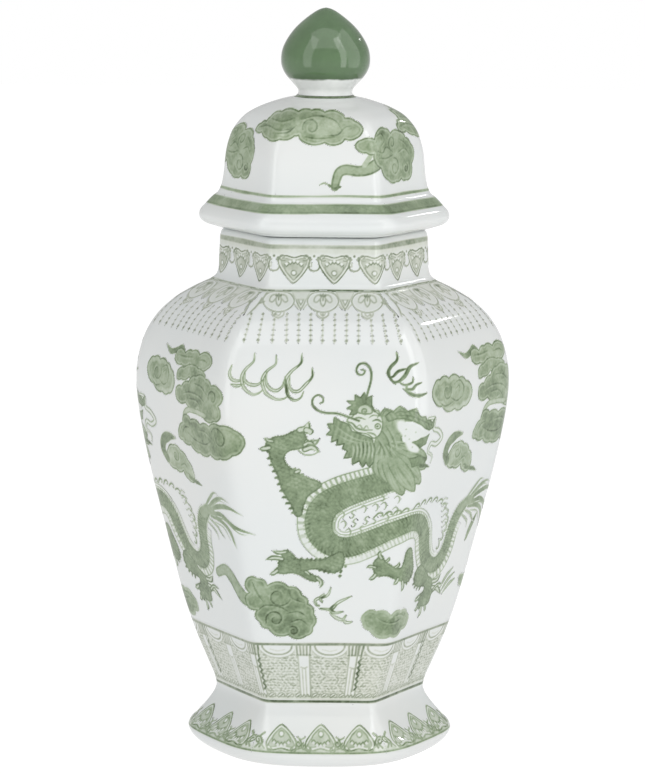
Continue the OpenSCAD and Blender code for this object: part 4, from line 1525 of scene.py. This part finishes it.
def lid_clouds(squeeze):
    """Two clouds over two facets of the lid. squeeze narrows the far side of the second."""

    def here(points):
        return [(s if s < 44 else mix(44, s, squeeze), z) for s, z in points]

    lid = Canvas(lid_wall, (-58, 82), (350, 400), 0.5)
    cloud(lid, [
        (-53, 384.5), (-45, 384), (-38, 381), (-27, 380.8), (-18, 383), (-15.5, 383.5),
        (-13, 379.8), (0, 379.3), (9, 378.6), (12, 381.5), (19, 382), (23, 387), (18, 391.5),
        (12, 393), (9, 396), (0, 396.3), (-8, 397.3), (-16, 396.5), (-28, 396), (-38, 392.5),
        (-41, 390.2), (-47, 388.6)], tone=0.5, rim=1.4, bulge=0.13, scrolls=[
        ((-8, 388), 1.4, 5.4, 1.1, 160)], strokes=[
        [(-49, 386.5), (-38, 388), (-28, 386), (-19, 387)], [(-36, 392), (-26, 391), (-18, 393)],
        [(-30, 384), (-22, 385), (-17, 389)], [(-14, 392.5), (-4, 394.5), (6, 392), (10, 387)],
        [(0, 383), (8, 384), (12, 388), (16, 389)], [(-12, 382.5), (-4, 381.5), (6, 382.5)]])
    tail = curve([(33, 367), (26, 363.5), (20, 362.5), (13, 363.3), (9, 361.5), (7.2, 357),
                  (6.5, 353)])
    lid.line(tail, 6.2, 0.72, taper=(1.3, 0.75), soft=0.8)
    lid.line(tail, 4.4, 0.42, taper=(1.4, 0.6), soft=1.2)
    lid.stroke([(24, 366), (28, 372), (31, 376)], 3.0, 0.3)
    lid.stroke([(-3, 354), (0, 355.2), (3, 354)], 0.9, 0.55, taper=(0.4, 0.6))
    lid.stroke([(3, 354), (6, 352.2), (9.5, 353)], 1.3, 0.74)
    cloud(lid, here([
        (20, 375), (25, 373.5), (30, 372.5), (30.5, 368.5), (36, 364), (44, 356.5), (54, 354.8),
        (60, 356.2), (66, 355), (72, 356.5), (73, 364), (76, 371), (72, 376), (66, 380),
        (59, 384), (48, 383.5), (42, 386.5), (34, 386), (30.5, 381), (22, 380.8), (18.5, 378)]),
        tone=0.52, rim=1.5, bulge=0.13, scrolls=[
        ((52, 363.5), 1.2, 5.6, 1.2, 30), ((49, 378), 1, 4.4, 1.2, 160),
        ((mix(44, 66, squeeze), 362), 0.8, 2.6, 1.1, 30)], strokes=[here(stroke) for stroke in (
            [(32, 383), (37, 384), (40, 380), (36, 377)], [(34, 370), (42, 369.5), (50, 371)],
            [(56, 372), (64, 374), (70, 370)], [(58, 380), (65, 377), (68, 373)],
            [(33, 374), (38, 373), (42, 376), (50, 372.5)])])
    return lid


def paint_lid():
    """Clouds three times round, and the lines above the rim."""
    for k, squeeze in enumerate((1, 0.9, 0.76)):
        paint(f"lid_clouds_{k + 1}", lid_clouds(squeeze), "lid", 120 * k)
    lines = Canvas.ring(lid_wall, 66, (337, 350), 0.5)
    band(lines, 347.2, 1.4, 0.48, sway=0.25, swing=0.25)
    band(lines, 340.2, 4.9, 0.6, soft=0.9, sway=0.2)
    band(lines, 338.0, 0.9, 0.76, sway=0.2)
    paint("lid_lines", lines, "lid", patchy=0.3)


def knob_ring():
    """The green line in the hollow where the finial meets the dome."""
    line = [(knob_neck_r + 0.35, dome_z + 0.35), (knob_neck_r, dome_z - 0.2),
            (knob_neck_r + 0.7, dome_z - 1.5), (knob_neck_r + 2.6, dome_z - 1.6),
            (knob_neck_r + 2.4, dome_z - 1), (knob_neck_r + 1.1, dome_z - 0.5)]
    ring = sweep("knob_ring", line, None, "loop")
    values = np.full(len(ring.data.vertices), 0.8)
    ring.data.attributes.new("ink", "FLOAT", "POINT").data.foreach_set("value", values)
    finish_piece(ring, glazed_porcelain, "lid", "green_glaze")


neck_border()
shoulder_border()
lower_band()
foot_border()
paint_lid()
knob_ring()

# ---------------------------------------------------------------- camera, light and floor

# Where the camera is, in millimetres and degrees, and its lens.
CAMERA_BACK, CAMERA_UP = 2213, 559
CAMERA_PITCH, CAMERA_ROLL, CAMERA_TURN = 8.62, 0.54, 0.16
CAMERA_LENS, CAMERA_SENSOR = 168.28, 36
# Strengths of the world above and below its soft horizon, and of the floor.
SKY_LEVEL, GROUND_LEVEL, FLOOR_GLOW = 0.55, 0.92, 0.86
HORIZON = 0.15
FLOOR_REACH = 6000
LAMP_AIM = 240  # height that the lamps point at


def add_camera():
    data = bpy.data.cameras.new("camera")
    data.sensor_width = CAMERA_SENSOR
    data.lens = CAMERA_LENS
    camera = bpy.data.objects.new("camera", data)
    bpy.context.scene.collection.objects.link(camera)
    camera.matrix_world = (
        Matrix.Rotation(math.radians(CAMERA_TURN), 4, "Z")
        @ Matrix.Translation((0, -CAMERA_BACK * MM, CAMERA_UP * MM))
        @ Matrix.Rotation(math.radians(90 - CAMERA_PITCH), 4, "X")
        @ Matrix.Rotation(math.radians(CAMERA_ROLL), 4, "Z"))
    bpy.context.scene.camera = camera


def add_lamp(name, azimuth, elevation, distance, width, height, power, lights=True,
             mirrored=True):
    """A soft box aimed at the middle of the jar. Azimuth runs from -Y towards +X, in degrees.
    Distance, width and height are in metres and power in watts. lights says whether it lights
    the glaze, mirrored whether it shows in it."""
    data = bpy.data.lights.new(name, "AREA")
    data.shape = "RECTANGLE"
    data.size, data.size_y = width, height
    data.energy = power
    lamp = bpy.data.objects.new(name, data)
    bpy.context.scene.collection.objects.link(lamp)
    a, e = math.radians(azimuth), math.radians(elevation)
    aim = Vector((math.sin(a) * math.cos(e), -math.cos(a) * math.cos(e), math.sin(e)))
    lamp.location = Vector((0, 0, LAMP_AIM * MM)) + aim * distance
    lamp.rotation_euler = aim.to_track_quat("Z", "Y").to_euler()
    lamp.visible_camera = False
    lamp.visible_diffuse = lights
    lamp.visible_glossy = mirrored


def add_world():
    """White where the camera looks; for light and reflections a soft sky over a greyer ground."""
    n = Nodes(bpy.data.worlds.new("studio"), "Background", "Generated")
    n.shader.inputs["Color"].default_value = (1, 1, 1, 1)
    height = n.add("SeparateXYZ", {"Vector": n.place}).outputs["Z"]
    around = n.add("MapRange", {
        "Value": height, "From Min": -HORIZON, "From Max": HORIZON,
        "To Min": GROUND_LEVEL, "To Max": SKY_LEVEL}).outputs["Result"]
    seen = n.add("LightPath").outputs["Is Camera Ray"]
    level = n.add("MapRange", {"Value": seen, "To Min": around}).outputs["Result"]
    n.link(level, "Strength")
    bpy.context.scene.world = n.owner


def add_floor():
    """A plain white sweep, large enough to run out of every view. The jar is lit and mirrored
    as if it stood on the world's ground level, so the floor can be white without glare."""
    n = Nodes.material("studio_floor")
    n.shader.inputs["Base Color"].default_value = (0.3, 0.3, 0.3, 1)
    n.shader.inputs["Roughness"].default_value = 0.9
    n.shader.inputs["Specular IOR Level"].default_value = 0.0
    n.shader.inputs["Emission Color"].default_value = (1, 1, 1, 1)
    n.shader.inputs["Emission Strength"].default_value = FLOOR_GLOW
    corners = [(FLOOR_REACH * x, FLOOR_REACH * y, 0) for x, y in ((-1, -1), (1, -1), (1, 1), (-1, 1))]
    floor = add_object("floor", corners, [[0, 1, 2, 3]])
    floor.data.materials.append(n.owner)
    floor.visible_diffuse = False
    floor.visible_glossy = False


add_camera()
add_world()
add_floor()
add_lamp("right_light", 50, 15, 1.6, 0.45, 1.3, 4.3, mirrored=False)
add_lamp("left_light", -52, 15, 1.6, 0.3, 1.3, 1.1, mirrored=False)
add_lamp("top_light", 0, 58, 1.6, 1.3, 0.8, 2, mirrored=False)
add_lamp("front_light", 0, 16, 2.0, 1.4, 1.4, 8, mirrored=False)
add_lamp("back_lamp", 135.8, 28.8, 1.7, 0.03, 0.04, 0.2)
add_lamp("right_card", 48, 22, 1.6, 0.48, 2.8, 10, lights=False)
add_lamp("far_right_card", 80, 22, 1.6, 1.2, 2.8, 12, lights=False)
add_lamp("left_card", -48, 22, 1.6, 0.7, 2.8, 8, lights=False)
add_lamp("top_card", 0, 66, 1.6, 1.8, 1.1, 6.5, lights=False)
bpy.context.scene.view_settings.view_transform = "Standard"
